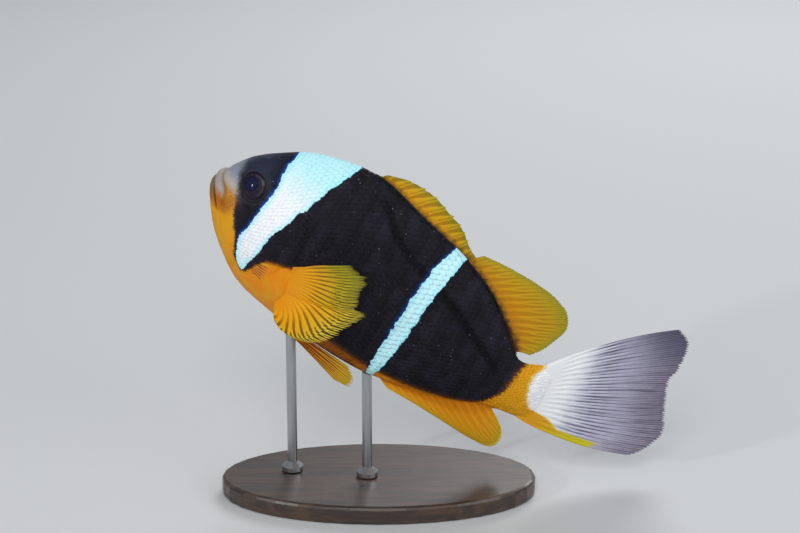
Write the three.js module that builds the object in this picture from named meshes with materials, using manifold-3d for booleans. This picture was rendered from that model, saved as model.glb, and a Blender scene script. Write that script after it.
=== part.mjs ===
// A life-size display model of an adult two-banded anemonefish on a small stand.
// Millimetres, +Z up. The head points towards -X and up, the left side faces -Y.
// The origin is the centre of the stand's underside.
//
// The fish is drawn straight first: x runs back from the tip of the snout, y is to the fish's right,
// z is up. bend() then curves the rear half sideways, and the groups pitch, bank and lift the whole fish.
import * as THREE from "three";
import { mergeVertices } from "three/addons/utils/BufferGeometryUtils.js";
import Module from "manifold-3d";

const wasm = await Module();
wasm.setup();

// ---------------------------------------------------------------- driving dimensions
const GAP = 0.3; // clearance between touching pieces
const FIN_THICKNESS = 0.6;
const RAY_THICKNESS = 1.0;
const SMALLEST_DETAIL = 0.05; // cuts leave nothing finer than this

// Side outline and half width of the body: [distance from the snout, value].
const BACK = [[0, 6], [2, 10.4], [5, 15], [9, 18.8], [16, 23.9], [25, 27.3], [34, 28.4],
  [46, 26], [58, 23.2], [68, 19], [77, 12], [84, 5.6], [92, 6.8]];
const BELLY = [[0, 2], [2, -0.7], [5, -5], [10, -9.8], [17, -14.3], [26, -16.2], [38, -17.2],
  [52, -16.9], [62, -14.9], [74, -12.2], [83, -9.4], [92, -10]];
const HALF_WIDTH = [[0, 3], [3, 4.6], [9, 6.8], [18, 8.6], [28, 9.1], [44, 8.2], [60, 6.2],
  [74, 4], [84, 2.6], [92, 1.7]];
const SNOUT_ROUNDING = 2.2; // over this length the front closes in a round
const SNOUT_HEIGHT = 4.4; // height at which the snout closes
const BACK_NARROWING = 0.14; // how much slimmer a section is near the back than near the belly
const SNOUT_TIP = 0.04; // the first section, almost a point

// Where the body is divided.
const HEAD_END = 26.4;
const TAIL_STEM_START = 78;
const BODY_END = 92;

// Pose.
const BEND_START = 48; // the rear half starts to curve here
const BEND_END = 98;
const BEND_SIDEWAYS = THREE.MathUtils.degToRad(28); // tail swings to the fish's right
const FLEX_START = 80;
const FLEX_END = 100;
const FLEX_UP = THREE.MathUtils.degToRad(6); // and lifts a little
const YAW = THREE.MathUtils.degToRad(10); // head turned to the fish's right
const PITCH = THREE.MathUtils.degToRad(29.5); // head up
const BANK = THREE.MathUtils.degToRad(13); // back leans towards -Y
const SNOUT_POSITION = [-40.5, 4.5, 73.6]; // the snout, above the centre of the stand

// ---------------------------------------------------------------- small helpers
const smooth = (t) => {
  const c = Math.min(1, Math.max(0, t));
  return c * c * (3 - 2 * c);
};

// A smooth function through points [x, value].
function through(points) {
  const slope = points.map((p, i) => {
    const a = points[Math.max(0, i - 1)];
    const b = points[Math.min(points.length - 1, i + 1)];
    return (b[1] - a[1]) / (b[0] - a[0]);
  });
  return (x) => {
    const inside = Math.min(points.at(-1)[0], Math.max(points[0][0], x));
    const i = Math.max(0, Math.min(points.length - 2, points.findIndex((p) => p[0] > inside) - 1));
    const k = inside >= points.at(-1)[0] ? points.length - 2 : i;
    const [x0, y0] = points[k];
    const [x1, y1] = points[k + 1];
    const w = x1 - x0;
    const t = (inside - x0) / w;
    return y0 * (1 + 2 * t) * (1 - t) ** 2 + y1 * t * t * (3 - 2 * t)
      + slope[k] * w * t * (1 - t) ** 2 - slope[k + 1] * w * t * t * (1 - t);
  };
}

const back = through(BACK);
const belly = through(BELLY);
const halfWidth = through(HALF_WIDTH);

// A point of the body's surface: a is the angle round the section, from the right side (0) over the back.
function bodyPoint(x, a, offset = 0) {
  const round = x < SNOUT_ROUNDING ? Math.sqrt(1 - (1 - x / SNOUT_ROUNDING) ** 2) : 1;
  const top = SNOUT_HEIGHT + (back(x) - SNOUT_HEIGHT) * round + offset;
  const bottom = SNOUT_HEIGHT + (belly(x) - SNOUT_HEIGHT) * round - offset;
  const width = halfWidth(x) * round * (1 - BACK_NARROWING * Math.sin(a)) + offset;
  return new THREE.Vector3(x, width * Math.cos(a), (top + bottom) / 2 + (top - bottom) / 2 * Math.sin(a));
}

// The body's surface seen from the side: half width at a given x and height.
function surfaceHalfWidth(x, z) {
  const centre = (back(x) + belly(x)) / 2;
  const sine = Math.max(-1, Math.min(1, (z - centre) / ((back(x) - belly(x)) / 2)));
  return halfWidth(x) * (1 - BACK_NARROWING * sine) * Math.sqrt(1 - sine * sine);
}

// The spine's centre line and its two angles, summed in short steps.
const SPINE_STEP = 0.5;
const sideways = (x) => BEND_SIDEWAYS * smooth((x - BEND_START) / (BEND_END - BEND_START));
const upward = (x) => FLEX_UP * smooth((x - FLEX_START) / (FLEX_END - FLEX_START));
const spineDirection = (x) => new THREE.Vector3(
  Math.cos(sideways(x)) * Math.cos(upward(x)),
  Math.sin(sideways(x)) * Math.cos(upward(x)),
  Math.sin(upward(x)),
);

function spinePoint(x) {
  const point = new THREE.Vector3(Math.min(x, BEND_START), 0, 0);
  const steps = Math.max(0, Math.ceil((x - BEND_START) / SPINE_STEP));
  const step = steps ? (x - BEND_START) / steps : 0;
  for (let i = 0; i < steps; i++)
    point.addScaledVector(spineDirection(BEND_START + (i + 0.5) * step), step);
  return point;
}

// Curves a point of the straight fish with the spine.
function bend(p) {
  const across = new THREE.Vector3(-Math.sin(sideways(p.x)), Math.cos(sideways(p.x)), 0);
  const up = spineDirection(p.x).cross(across);
  return spinePoint(p.x).addScaledVector(across, p.y).addScaledVector(up, p.z);
}

// The signed volume of a closed geometry: negative when its faces point inwards.
function volumeOf(geometry) {
  const [a, b, c] = [new THREE.Vector3(), new THREE.Vector3(), new THREE.Vector3()];
  const position = geometry.getAttribute("position");
  const index = geometry.index.array;
  let sum = 0;
  for (let i = 0; i < index.length; i += 3) {
    a.fromBufferAttribute(position, index[i]);
    b.fromBufferAttribute(position, index[i + 1]);
    c.fromBufferAttribute(position, index[i + 2]);
    sum += a.dot(b.cross(c)) / 6;
  }
  return sum;
}

// Moves every vertex of a closed geometry with place(vertex), then turns its faces outwards.
function shaped(geometry, place) {
  geometry.deleteAttribute("normal");
  geometry.deleteAttribute("uv");
  const merged = mergeVertices(geometry, 1e-4);
  const position = merged.getAttribute("position");
  for (let i = 0; i < position.count; i++) {
    const p = place(new THREE.Vector3().fromBufferAttribute(position, i));
    position.setXYZ(i, p.x, p.y, p.z);
  }
  const index = merged.index.array;
  if (volumeOf(merged) < 0)
    for (let i = 0; i < index.length; i += 3)
      [index[i + 1], index[i + 2]] = [index[i + 2], index[i + 1]];
  return merged;
}

const toSolid = (geometry) => new wasm.Manifold(new wasm.Mesh({
  numProp: 3,
  vertProperties: new Float32Array(geometry.getAttribute("position").array),
  triVerts: new Uint32Array(geometry.index.array),
}));

function toGeometry(solid) {
  const mesh = solid.simplify(SMALLEST_DETAIL).getMesh();
  return new THREE.BufferGeometry()
    .setAttribute("position", new THREE.BufferAttribute(new Float32Array(mesh.vertProperties), 3))
    .setIndex(new THREE.BufferAttribute(new Uint32Array(mesh.triVerts), 1));
}

const largest = (solid) => solid.decompose().sort((a, b) => b.volume() - a.volume())[0];
const bent = (geometry) => shaped(geometry, bend);

const material = (color, roughness = 0.5, metalness = 0) =>
  new THREE.MeshStandardMaterial({ color, roughness, metalness });
const BLACK_SKIN = material(0x1b1b20, 0.45);
const SNOUT_SKIN = material(0x8f7f78, 0.5);
const ORANGE_SKIN = material(0xd8921a, 0.5);
const YELLOW_FIN = material(0xcfa812, 0.5);
const PALE_FIN = material(0xb9b4c4, 0.4);
const EYE = material(0x141220, 0.1);
const WOOD = material(0x2c2420, 0.45);
const STEEL = material(0xa8acb0, 0.3, 1);

const model = new THREE.Group();
const pitched = new THREE.Group();
pitched.position.set(...SNOUT_POSITION);
pitched.rotation.y = PITCH;
model.add(pitched);
const fish = new THREE.Group();
fish.rotation.set(BANK, 0, -YAW);
pitched.add(fish);

function add(parent, name, geometry, look) {
  const mesh = new THREE.Mesh(geometry, look);
  mesh.name = name;
  parent.add(mesh);
}

// ---------------------------------------------------------------- body
// A length of the body: a closed cylinder whose rings become the body's sections.
function bodyLength(from, to, rings, around, offset = 0, spacing = (t) => t) {
  const geometry = new THREE.CylinderGeometry(1, 1, 1, around, rings, false);
  return shaped(geometry, (p) => {
    const x = from + (to - from) * spacing(p.y + 0.5);
    const radius = Math.hypot(p.x, p.z);
    const surface = bodyPoint(x, radius < 0.5 ? 0 : Math.atan2(p.x, p.z), offset);
    const axis = bodyPoint(x, 0, offset);
    return radius < 0.5 ? new THREE.Vector3(x, 0, axis.z) : surface;
  });
}

const HEAD_RINGS = 13;
const RING_SIDES = 30;
const closerAtSnout = (t) => t ** 1.9;
const SHRUNK_START = 0.7; // a shrunk head starts further back by this share of the shrinking

// The head's length, swollen or shrunk all round.
function headLength(offset) {
  const from = SNOUT_TIP + Math.max(0, -offset) * SHRUNK_START;
  return toSolid(bodyLength(from, HEAD_END, HEAD_RINGS, RING_SIDES, offset, closerAtSnout));
}

// A prism across the whole width, from an outline drawn in side view.
function sidePrism(outline, from, to) {
  const geometry = new THREE.ExtrudeGeometry(outline, {
    depth: to - from,
    bevelEnabled: false,
    curveSegments: 10,
  });
  return toSolid(shaped(geometry, (p) => new THREE.Vector3(p.x, from + p.z, p.y)));
}

// Mouth: a steep slit, slightly open, from the front of the snout down to the corner.
const MOUTH_FRONT = [-1.5, 5.9];
const MOUTH_CORNER = [4.6, 1];
const MOUTH_HALF_OPEN = 0.35;
const LIP_TOP = 8.4;
const LIP_BACK = [4.7, 3.6]; // where the lip's rear edge turns down to the corner
const JAW_BACK = 9.5;
const JAW_LOW = -11; // below the throat
const ACROSS = 12; // more than half the head's width

function upperLipOutline(grow) {
  const shape = new THREE.Shape();
  shape.moveTo(MOUTH_FRONT[0], MOUTH_FRONT[1] + MOUTH_HALF_OPEN - grow);
  shape.lineTo(MOUTH_CORNER[0] + grow, MOUTH_CORNER[1] + MOUTH_HALF_OPEN - grow);
  shape.quadraticCurveTo(MOUTH_CORNER[0] + 1 + grow, LIP_BACK[1] / 2, LIP_BACK[0] + grow, LIP_BACK[1]);
  shape.quadraticCurveTo(LIP_BACK[0] - 1 + grow, LIP_TOP - 1.8, LIP_BACK[0] / 6 + grow, LIP_TOP + grow);
  shape.lineTo(MOUTH_FRONT[0], LIP_TOP + grow);
  return shape;
}

function lowerJawOutline(grow) {
  const shape = new THREE.Shape();
  const corner = [MOUTH_CORNER[0] + grow, MOUTH_CORNER[1] - MOUTH_HALF_OPEN + grow];
  shape.moveTo(MOUTH_FRONT[0], MOUTH_FRONT[1] - MOUTH_HALF_OPEN + grow);
  shape.lineTo(MOUTH_FRONT[0], JAW_LOW);
  shape.lineTo(JAW_BACK + grow, JAW_LOW);
  shape.quadraticCurveTo(JAW_BACK - 0.5 + grow, JAW_LOW / 2, ...corner);
  return shape;
}

// Gill cover: a plate on each side of the head, from the cheek's edge to just short of the shoulder.
const GILL = { top: [18.4, 16], rear: [25.5, 3.6], bottom: [17.4, -11.6], front: [13.6, 0.6] };
const GILL_RAISED = 0.45;
const GILL_DEEP = 1.1;
const LIP_RAISED = 0.35;
const LIP_DEEP = 1.2;

function gillOutline(grow) {
  const top = [GILL.top[0], GILL.top[1] + grow];
  const rear = [GILL.rear[0] + grow, GILL.rear[1]];
  const bottom = [GILL.bottom[0], GILL.bottom[1] - grow];
  const front = [GILL.front[0] - grow, GILL.front[1]];
  const shape = new THREE.Shape();
  shape.moveTo(...top);
  shape.quadraticCurveTo(rear[0] - 0.4, top[1] - 0.5, ...rear);
  shape.quadraticCurveTo(rear[0] + 0.2, bottom[1] + 3.5, ...bottom);
  shape.quadraticCurveTo(front[0] + 0.2, bottom[1] + 2, ...front);
  shape.quadraticCurveTo(front[0] + 0.4, top[1] - 4, ...top);
  return shape;
}

// Eye: a slightly flattened ball that sits deep in the head.
const EYE_X = 9.2;
const EYE_Z = 11.7;
const EYE_RADIUS = 3.2;
const EYE_FLATNESS = 0.72;
const EYE_OUT = 0.75; // how far the ball stands out of the head's side
const eyeY = surfaceHalfWidth(EYE_X, EYE_Z) + EYE_OUT - EYE_RADIUS * EYE_FLATNESS;

const eyeBall = (side, grow) => shaped(
  new THREE.SphereGeometry(EYE_RADIUS + grow, 16, 9),
  (p) => new THREE.Vector3(EYE_X + p.x, side * (eyeY + p.z * EYE_FLATNESS), EYE_Z + p.y),
);

const RIGHT = 1;
const LEFT = -1;
const SIDES = [["left", LEFT], ["right", RIGHT]];

function makeHead() {
  const lip = (grow) => sidePrism(upperLipOutline(grow), -ACROSS, ACROSS)
    .subtract(headLength(-LIP_DEEP - grow));
  const jaw = (grow) => sidePrism(lowerJawOutline(grow), -ACROSS, ACROSS);
  const upperLip = largest(headLength(LIP_RAISED).intersect(lip(0)).subtract(jaw(GAP)));
  const lowerJaw = largest(headLength(0).intersect(jaw(0)));
  let head = headLength(0).subtract(lip(GAP)).subtract(jaw(GAP));
  const gillShell = headLength(GILL_RAISED);
  const gillCore = headLength(-GILL_DEEP);
  const gillBed = headLength(-GILL_DEEP - GAP);
  for (const [name, side] of SIDES) {
    const across = [0, side * ACROSS].sort((a, b) => a - b);
    const cover = gillShell.intersect(sidePrism(gillOutline(0), ...across)).subtract(gillCore);
    head = head.subtract(sidePrism(gillOutline(GAP), ...across).subtract(gillBed));
    add(fish, "gill_cover_" + name, toGeometry(largest(cover)), BLACK_SKIN);
    head = head.subtract(toSolid(eyeBall(side, GAP)));
    add(fish, "eye_" + name, eyeBall(side, 0), EYE);
  }
  add(fish, "head", toGeometry(largest(head)), BLACK_SKIN);
  add(fish, "upper_lip", toGeometry(upperLip), SNOUT_SKIN);
  add(fish, "lower_jaw", toGeometry(lowerJaw), ORANGE_SKIN);
}

makeHead();
const TRUNK_RINGS = 13;
const STEM_RINGS = 6;
const trunk = bodyLength(HEAD_END + GAP, TAIL_STEM_START, TRUNK_RINGS, RING_SIDES);
const tailStem = bodyLength(TAIL_STEM_START + GAP, BODY_END, STEM_RINGS, RING_SIDES);
add(fish, "trunk", bent(trunk), BLACK_SKIN);
add(fish, "tail_stem", bent(tailStem), ORANGE_SKIN);

// ---------------------------------------------------------------- fins
// A fin is a box of one layer, laid out in rays: u runs along the root, v out along each ray.
// Ray columns are thicker and longer than the web between them.
const WEB_NOTCH = 0.035;
const ROOT_LENGTH = 0.4; // the thicker root fades out over this share of each ray

function finSolid({ rays, rows, point, normal, root = RAY_THICKNESS }) {
  const columns = 2 * (rays - 1);
  const box = new THREE.BoxGeometry(1, 1, 1, columns, 1, rows);
  return shaped(box, (p) => {
    const u = p.x + 0.5;
    const v = p.z + 0.5;
    const onRay = Math.round(u * columns) % 2 === 0;
    const reach = v * (onRay ? 1 : 1 - WEB_NOTCH);
    const thin = onRay ? RAY_THICKNESS + (FIN_THICKNESS - RAY_THICKNESS) * v : FIN_THICKNESS;
    const thickness = thin + (root - RAY_THICKNESS) * (1 - smooth(v / ROOT_LENGTH));
    const q = point(u, reach).addScaledVector(normal(u, reach), p.y * thickness);
    return bend(q);
  });
}

// A fin in the fish's middle plane. Root, ray angle, ray length, sideways wave and the bow of a ray
// (how far its middle stands above a straight line) are functions of u.
function middleFin({ rays, rows, rootX, rootZ, angle, length, wave, bow = () => 0 }) {
  return finSolid({
    rays,
    rows,
    point: (u, v) => {
      const a = angle(u);
      const reach = length(u) * v;
      const rise = bow(u) * 4 * v * (1 - v);
      return new THREE.Vector3(
        rootX(u) + reach * Math.cos(a) - rise * Math.sin(a),
        wave(u, v),
        rootZ(u) + reach * Math.sin(a) + rise * Math.cos(a),
      );
    },
    normal: () => new THREE.Vector3(0, 1, 0),
  });
}

const between = (a, b) => (u) => a + (b - a) * u;
const radians = (points) => {
  const f = through(points);
  return (u) => THREE.MathUtils.degToRad(f(u));
};

const DORSAL = { start: 32.5, spinyEnd: 59.2, notch: 59.8, end: 81 };
const dorsalRoot = (x) => back(x) + GAP;
add(fish, "dorsal_fin_spiny", middleFin({
  rays: 11,
  rows: 3,
  rootX: between(DORSAL.start, DORSAL.spinyEnd),
  rootZ: (u) => dorsalRoot(between(DORSAL.start, DORSAL.spinyEnd)(u)),
  angle: radians([[0, 40], [0.5, 40], [1, 43]]),
  length: through([[0, 2.2], [0.1, 5], [0.3, 7.1], [0.5, 7], [0.65, 6], [0.75, 4.6], [0.88, 2.7], [1, 2.2]]),
  wave: (u, v) => 0.5 * v * Math.sin(9 * u),
}), YELLOW_FIN);
add(fish, "dorsal_fin_soft", middleFin({
  rays: 15,
  rows: 4,
  rootX: between(DORSAL.notch, DORSAL.end),
  rootZ: (u) => dorsalRoot(between(DORSAL.notch, DORSAL.end)(u)),
  angle: radians([[0, 39], [0.1, 36], [0.2, 29], [0.4, 22.5], [0.6, 18], [0.7, 12], [0.85, 9], [1, -3]]),
  length: through([[0, 4.2], [0.1, 6.3], [0.2, 9.3], [0.4, 14.1], [0.6, 17.1], [0.7, 16.8], [0.8, 13.9],
    [0.9, 9.6], [1, 4.2]]),
  wave: (u, v) => 1.2 * v * v * Math.sin(3 * u + 0.5),
}), YELLOW_FIN);

const ANAL = { start: 57, end: 84 };
add(fish, "anal_fin", middleFin({
  rays: 14,
  rows: 4,
  rootX: between(ANAL.start, ANAL.end),
  rootZ: (u) => belly(between(ANAL.start, ANAL.end)(u)) - GAP,
  angle: radians([[0, -17], [0.15, -20], [0.3, -23], [0.55, -29.5], [0.75, -34], [1, -32]]),
  length: through([[0, 4], [0.15, 7], [0.3, 10.5], [0.55, 15.6], [0.68, 16.9], [0.78, 15.8], [0.87, 12.8],
    [0.94, 9], [1, 3.5]]),
  wave: (u, v) => 0.8 * v * v * Math.sin(3 * u),
}), YELLOW_FIN);

// Tail fin: rays spread as a fan from the end of the body, and the outer ones bow outwards.
const TAIL_TILT = THREE.MathUtils.degToRad(13.7); // the fan turns up a little
const TAIL_SPREAD = THREE.MathUtils.degToRad(17.8);
const TAIL_BOW = 2.5;
const TAIL_ROOT = { x: BODY_END + GAP, low: -9.6, high: 6.4 };
add(fish, "tail_fin", middleFin({
  rays: 17,
  rows: 5,
  rootX: () => TAIL_ROOT.x,
  rootZ: between(TAIL_ROOT.high, TAIL_ROOT.low),
  angle: (u) => TAIL_TILT + TAIL_SPREAD * (1 - 2 * u),
  length: through([[0, 32.8], [0.14, 36], [0.3, 34.7], [0.39, 32.7], [0.55, 33.8], [0.7, 35.8], [0.81, 36.8],
    [0.92, 33.9], [1, 30.5]]),
  bow: (u) => TAIL_BOW * (1 - 2 * u),
  wave: (u, v) => v * v * (5 * (0.6 - u) + 0.8 * Math.sin(11 * u)),
}), PALE_FIN);

// Pectoral fin: a wide fan behind the gill cover. Its upper rays point up and back, and its lower ones
// turn outwards. u runs down the root.
const PECTORAL = {
  x: through([[0, 27.6], [0.5, 28.4], [1, 27.8]]),
  z: through([[0, 1.3], [0.28, -3.9], [0.48, -5.8], [0.69, -8.4], [0.82, -9.6], [1, -10.6]]),
  angle: radians([[0, 52], [0.14, 47], [0.28, 43], [0.42, 35], [0.62, 28], [0.76, 15], [0.9, 7], [1, -4]]),
  length: through([[0, 17.5], [0.14, 22], [0.28, 21.5], [0.42, 20], [0.48, 22.5], [0.62, 19.4],
    [0.76, 14.4], [0.87, 10], [0.96, 4.8], [1, 2.6]]),
  outward: through([[0, 8.8], [0.28, 10], [0.42, 9], [0.62, 10], [0.82, 11.2], [0.92, 10], [1, 6]]),
  bow: 1.3, // how far the upper rays arch
  root: 2, // thickness of the fleshy base
  lean: THREE.MathUtils.degToRad(30), // the rays' thickness is measured square to a fan that leans out
};

function pectoralPoint(side) {
  return (u, v) => {
    const x = PECTORAL.x(u);
    const z = PECTORAL.z(u);
    const a = PECTORAL.angle(u);
    const reach = PECTORAL.length(u) * v;
    const out = PECTORAL.outward(u) * Math.sin(v * Math.PI / 2);
    const arch = PECTORAL.bow * Math.max(0, 1 - 2 * u) * 4 * v * (1 - v);
    return new THREE.Vector3(
      x + reach * Math.cos(a) - arch * Math.sin(a),
      side * (surfaceHalfWidth(x, z) + PECTORAL.root / 2 + GAP + out),
      z + reach * Math.sin(a) + arch * Math.cos(a),
    );
  };
}

// Pelvic fin: a narrow fan that lies back along the belly.
const PELVIC = {
  x: between(32, 33.6),
  z: between(-16.5, -17.3),
  y: between(3, 3.2),
  angle: radians([[0, 4], [0.4, -5], [1, -12]]),
  length: through([[0, 18.5], [0.25, 20.5], [0.6, 20], [1, 16]]),
  spread: 0.13, // how far it leans outwards for each millimetre of its length
  root: 1.6,
};

function pelvicPoint(side) {
  return (u, v) => {
    const reach = PELVIC.length(u) * v;
    const a = PELVIC.angle(u);
    return new THREE.Vector3(
      PELVIC.x(u) + reach * Math.cos(a),
      side * (PELVIC.y(u) + reach * PELVIC.spread),
      PELVIC.z(u) + reach * Math.sin(a),
    );
  };
}

for (const [name, side] of SIDES) {
  add(fish, "pectoral_fin_" + name, finSolid({
    rays: 17,
    rows: 4,
    point: pectoralPoint(side),
    normal: () => new THREE.Vector3(-Math.sin(PECTORAL.lean), side * Math.cos(PECTORAL.lean), 0),
    root: PECTORAL.root,
  }), YELLOW_FIN);
  add(fish, "pelvic_fin_" + name, finSolid({
    rays: 6,
    rows: 4,
    point: pelvicPoint(side),
    normal: () => new THREE.Vector3(0, side, -0.2).normalize(),
    root: PELVIC.root,
  }), YELLOW_FIN);
}

// ---------------------------------------------------------------- stand
const BASE = { length: 76, width: 41, height: 4.5, edge: 0.8 };
const ROD = { radius: 1.2, footRadius: 2.6, footHeight: 1, collarHeight: 2.2, spare: 6 };
const RODS = [["front", 33], ["rear", 54.5]]; // where each rod meets the belly, from the snout

function baseGeometry() {
  const outline = new THREE.Shape();
  const halfLength = BASE.length / 2 - BASE.edge;
  const halfDepth = BASE.width / 2 - BASE.edge;
  outline.absellipse(0, 0, halfLength, halfDepth, 0, 2 * Math.PI);
  const geometry = new THREE.ExtrudeGeometry(outline, {
    depth: BASE.height - 2 * BASE.edge,
    bevelThickness: BASE.edge,
    bevelSize: BASE.edge,
    bevelSegments: 2,
    curveSegments: 18,
  });
  return geometry.translate(0, 0, BASE.edge);
}

// A rod with a flared foot, standing on z = 0.
function rodGeometry(height) {
  const profile = [
    [0, 0], [ROD.footRadius, 0], [ROD.footRadius, ROD.footHeight],
    [ROD.radius, ROD.collarHeight], [ROD.radius, height], [0, height],
  ].map(([r, h]) => new THREE.Vector2(r, h));
  return shaped(new THREE.LatheGeometry(profile, 16), (p) => new THREE.Vector3(p.x, -p.z, p.y));
}

add(model, "stand_base", baseGeometry(), WOOD);

// Each rod is cut off just below the belly.
model.updateMatrixWorld(true);
const swollenTrunk = bent(bodyLength(HEAD_END, TAIL_STEM_START, TRUNK_RINGS, RING_SIDES, GAP));
const trunkClear = toSolid(swollenTrunk.applyMatrix4(fish.matrixWorld));
for (const [name, x] of RODS) {
  const meets = bend(bodyPoint(x, -Math.PI / 2)).applyMatrix4(fish.matrixWorld);
  const foot = BASE.height + GAP;
  const rod = rodGeometry(meets.z + ROD.spare - foot).translate(meets.x, meets.y, foot);
  const pieces = toSolid(rod).subtract(trunkClear).decompose()
    .sort((a, b) => a.boundingBox().min[2] - b.boundingBox().min[2]);
  add(model, "stand_rod_" + name, toGeometry(pieces[0]), STEEL);
}

export default model;
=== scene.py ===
# %% [markdown]
# # A clownfish on its stand
# The finished piece is a life-size banded anemonefish over a dark oval base, on two steel rods. The packed
# CAD model is the frame. Its stand keeps showing, with better finishes. The flesh of the fish is replaced
# by one skin, a coat of scales, finely rayed fins and glossy eyes, all in the same place.

# %% Load the frame
import math
from functools import partialmethod

import bmesh
import bpy
import numpy as np
from mathutils import Matrix, Vector


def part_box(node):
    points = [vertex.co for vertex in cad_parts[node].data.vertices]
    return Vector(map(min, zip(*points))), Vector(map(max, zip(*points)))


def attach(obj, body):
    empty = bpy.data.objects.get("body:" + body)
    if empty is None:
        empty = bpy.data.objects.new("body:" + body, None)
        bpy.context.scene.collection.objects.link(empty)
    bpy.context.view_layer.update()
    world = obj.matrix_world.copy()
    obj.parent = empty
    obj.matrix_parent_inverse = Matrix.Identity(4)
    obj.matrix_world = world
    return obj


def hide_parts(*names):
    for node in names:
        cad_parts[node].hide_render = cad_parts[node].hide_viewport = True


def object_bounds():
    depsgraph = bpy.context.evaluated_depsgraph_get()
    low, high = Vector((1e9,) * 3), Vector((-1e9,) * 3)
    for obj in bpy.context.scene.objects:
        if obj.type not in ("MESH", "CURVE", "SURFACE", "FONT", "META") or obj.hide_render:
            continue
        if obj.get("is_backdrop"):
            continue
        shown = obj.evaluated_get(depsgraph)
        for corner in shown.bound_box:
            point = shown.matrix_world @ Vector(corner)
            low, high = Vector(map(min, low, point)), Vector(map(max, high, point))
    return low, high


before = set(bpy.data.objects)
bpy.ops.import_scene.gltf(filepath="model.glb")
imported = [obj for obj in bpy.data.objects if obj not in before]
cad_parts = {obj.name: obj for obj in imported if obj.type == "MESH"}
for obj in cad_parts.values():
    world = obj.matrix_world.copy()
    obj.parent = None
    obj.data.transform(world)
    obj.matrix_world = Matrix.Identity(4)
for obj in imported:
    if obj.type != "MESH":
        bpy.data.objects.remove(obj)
cad_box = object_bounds()
print("CAD nodes:", len(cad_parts))

# %% [markdown]
# ## The studio
# A small model is seen through a long lens from some way off, so that its far side isn't made small, and a
# little from above. The floor reaches far behind and fills the picture. A broad key light near the camera
# brings out the colours, two others soften the shadows, and a small one gives the eye its spark.

# %% Camera
CAMERA_ELEVATION = math.radians(17)
CAMERA_DISTANCE = 0.5
CAMERA_LENS = 94.725
AIM = Vector((0.00514, 0.0045, 0.05581))


def turn_towards(thing, target):
    thing.rotation_euler = (target - thing.location).to_track_quat("-Z", "Y").to_euler()


camera = bpy.data.objects.new("camera", bpy.data.cameras.new("camera"))
camera.data.lens = CAMERA_LENS
camera.data.clip_start = 0.02
towards_camera = Vector((0, -math.cos(CAMERA_ELEVATION), math.sin(CAMERA_ELEVATION)))
camera.location = AIM + towards_camera * CAMERA_DISTANCE
turn_towards(camera, AIM)
bpy.context.scene.collection.objects.link(camera)
bpy.context.scene.camera = camera
print("camera at", tuple(round(value, 3) for value in camera.location))

# %% Floor, lights and the light of the room
FLOOR_REACH = 6


def soft_light(name, place, size, power, colour=(1, 1, 1)):
    lamp = bpy.data.lights.new(name, "AREA")
    lamp.size = size
    lamp.energy = power
    lamp.color = colour
    light = bpy.data.objects.new(name, lamp)
    light.location = place
    turn_towards(light, AIM)
    bpy.context.scene.collection.objects.link(light)


def to_mesh(shape, name):
    """Makes a mesh whose faces are listed in the same order in each run, by their corners' numbers."""
    shape.verts.index_update()
    shape.faces.sort(key=lambda face: math.fsum(math.sqrt(corner.index) for corner in face.verts))
    mesh = bpy.data.meshes.new(name)
    shape.to_mesh(mesh)
    shape.free()
    return mesh


def link_mesh(name, mesh):
    piece = bpy.data.objects.new(name, mesh)
    bpy.context.scene.collection.objects.link(piece)
    return piece


floor_shape = bmesh.new()
bmesh.ops.create_grid(floor_shape, x_segments=1, y_segments=1, size=FLOOR_REACH)
floor = link_mesh("floor", to_mesh(floor_shape, "floor"))
floor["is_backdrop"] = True

soft_light("key", (-0.05, -0.85, 0.62), 0.4, 4.75, (1, 0.99, 0.97))
soft_light("fill", (0.75, -0.55, 0.35), 0.6, 2.4, (0.95, 0.98, 1))
soft_light("rim", (0.25, 0.75, 0.7), 0.5, 4.5)
soft_light("spark", (-0.67, -0.58, 0.34), 0.05, 1.8)
room = bpy.data.worlds.new("room")
room.use_nodes = True
glow = room.node_tree.nodes["Background"].inputs
glow["Color"].default_value = (0.86, 0.9, 0.95, 1)
glow["Strength"].default_value = 0.34
bpy.context.scene.world = room
bpy.context.scene.view_settings.view_transform = "Standard"
print("four lights, one floor")

# %% [markdown]
# ## Shader arithmetic
# A finish is a web of small nodes. Linking them by hand hides the idea, so two classes do the wiring.
# A `Value` is one output of a node that Python's own signs work on: `1 - mask` adds a Math node. A
# `Finish` is a material: its `node` method adds any node, and `lay` lays colours over one another.


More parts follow.
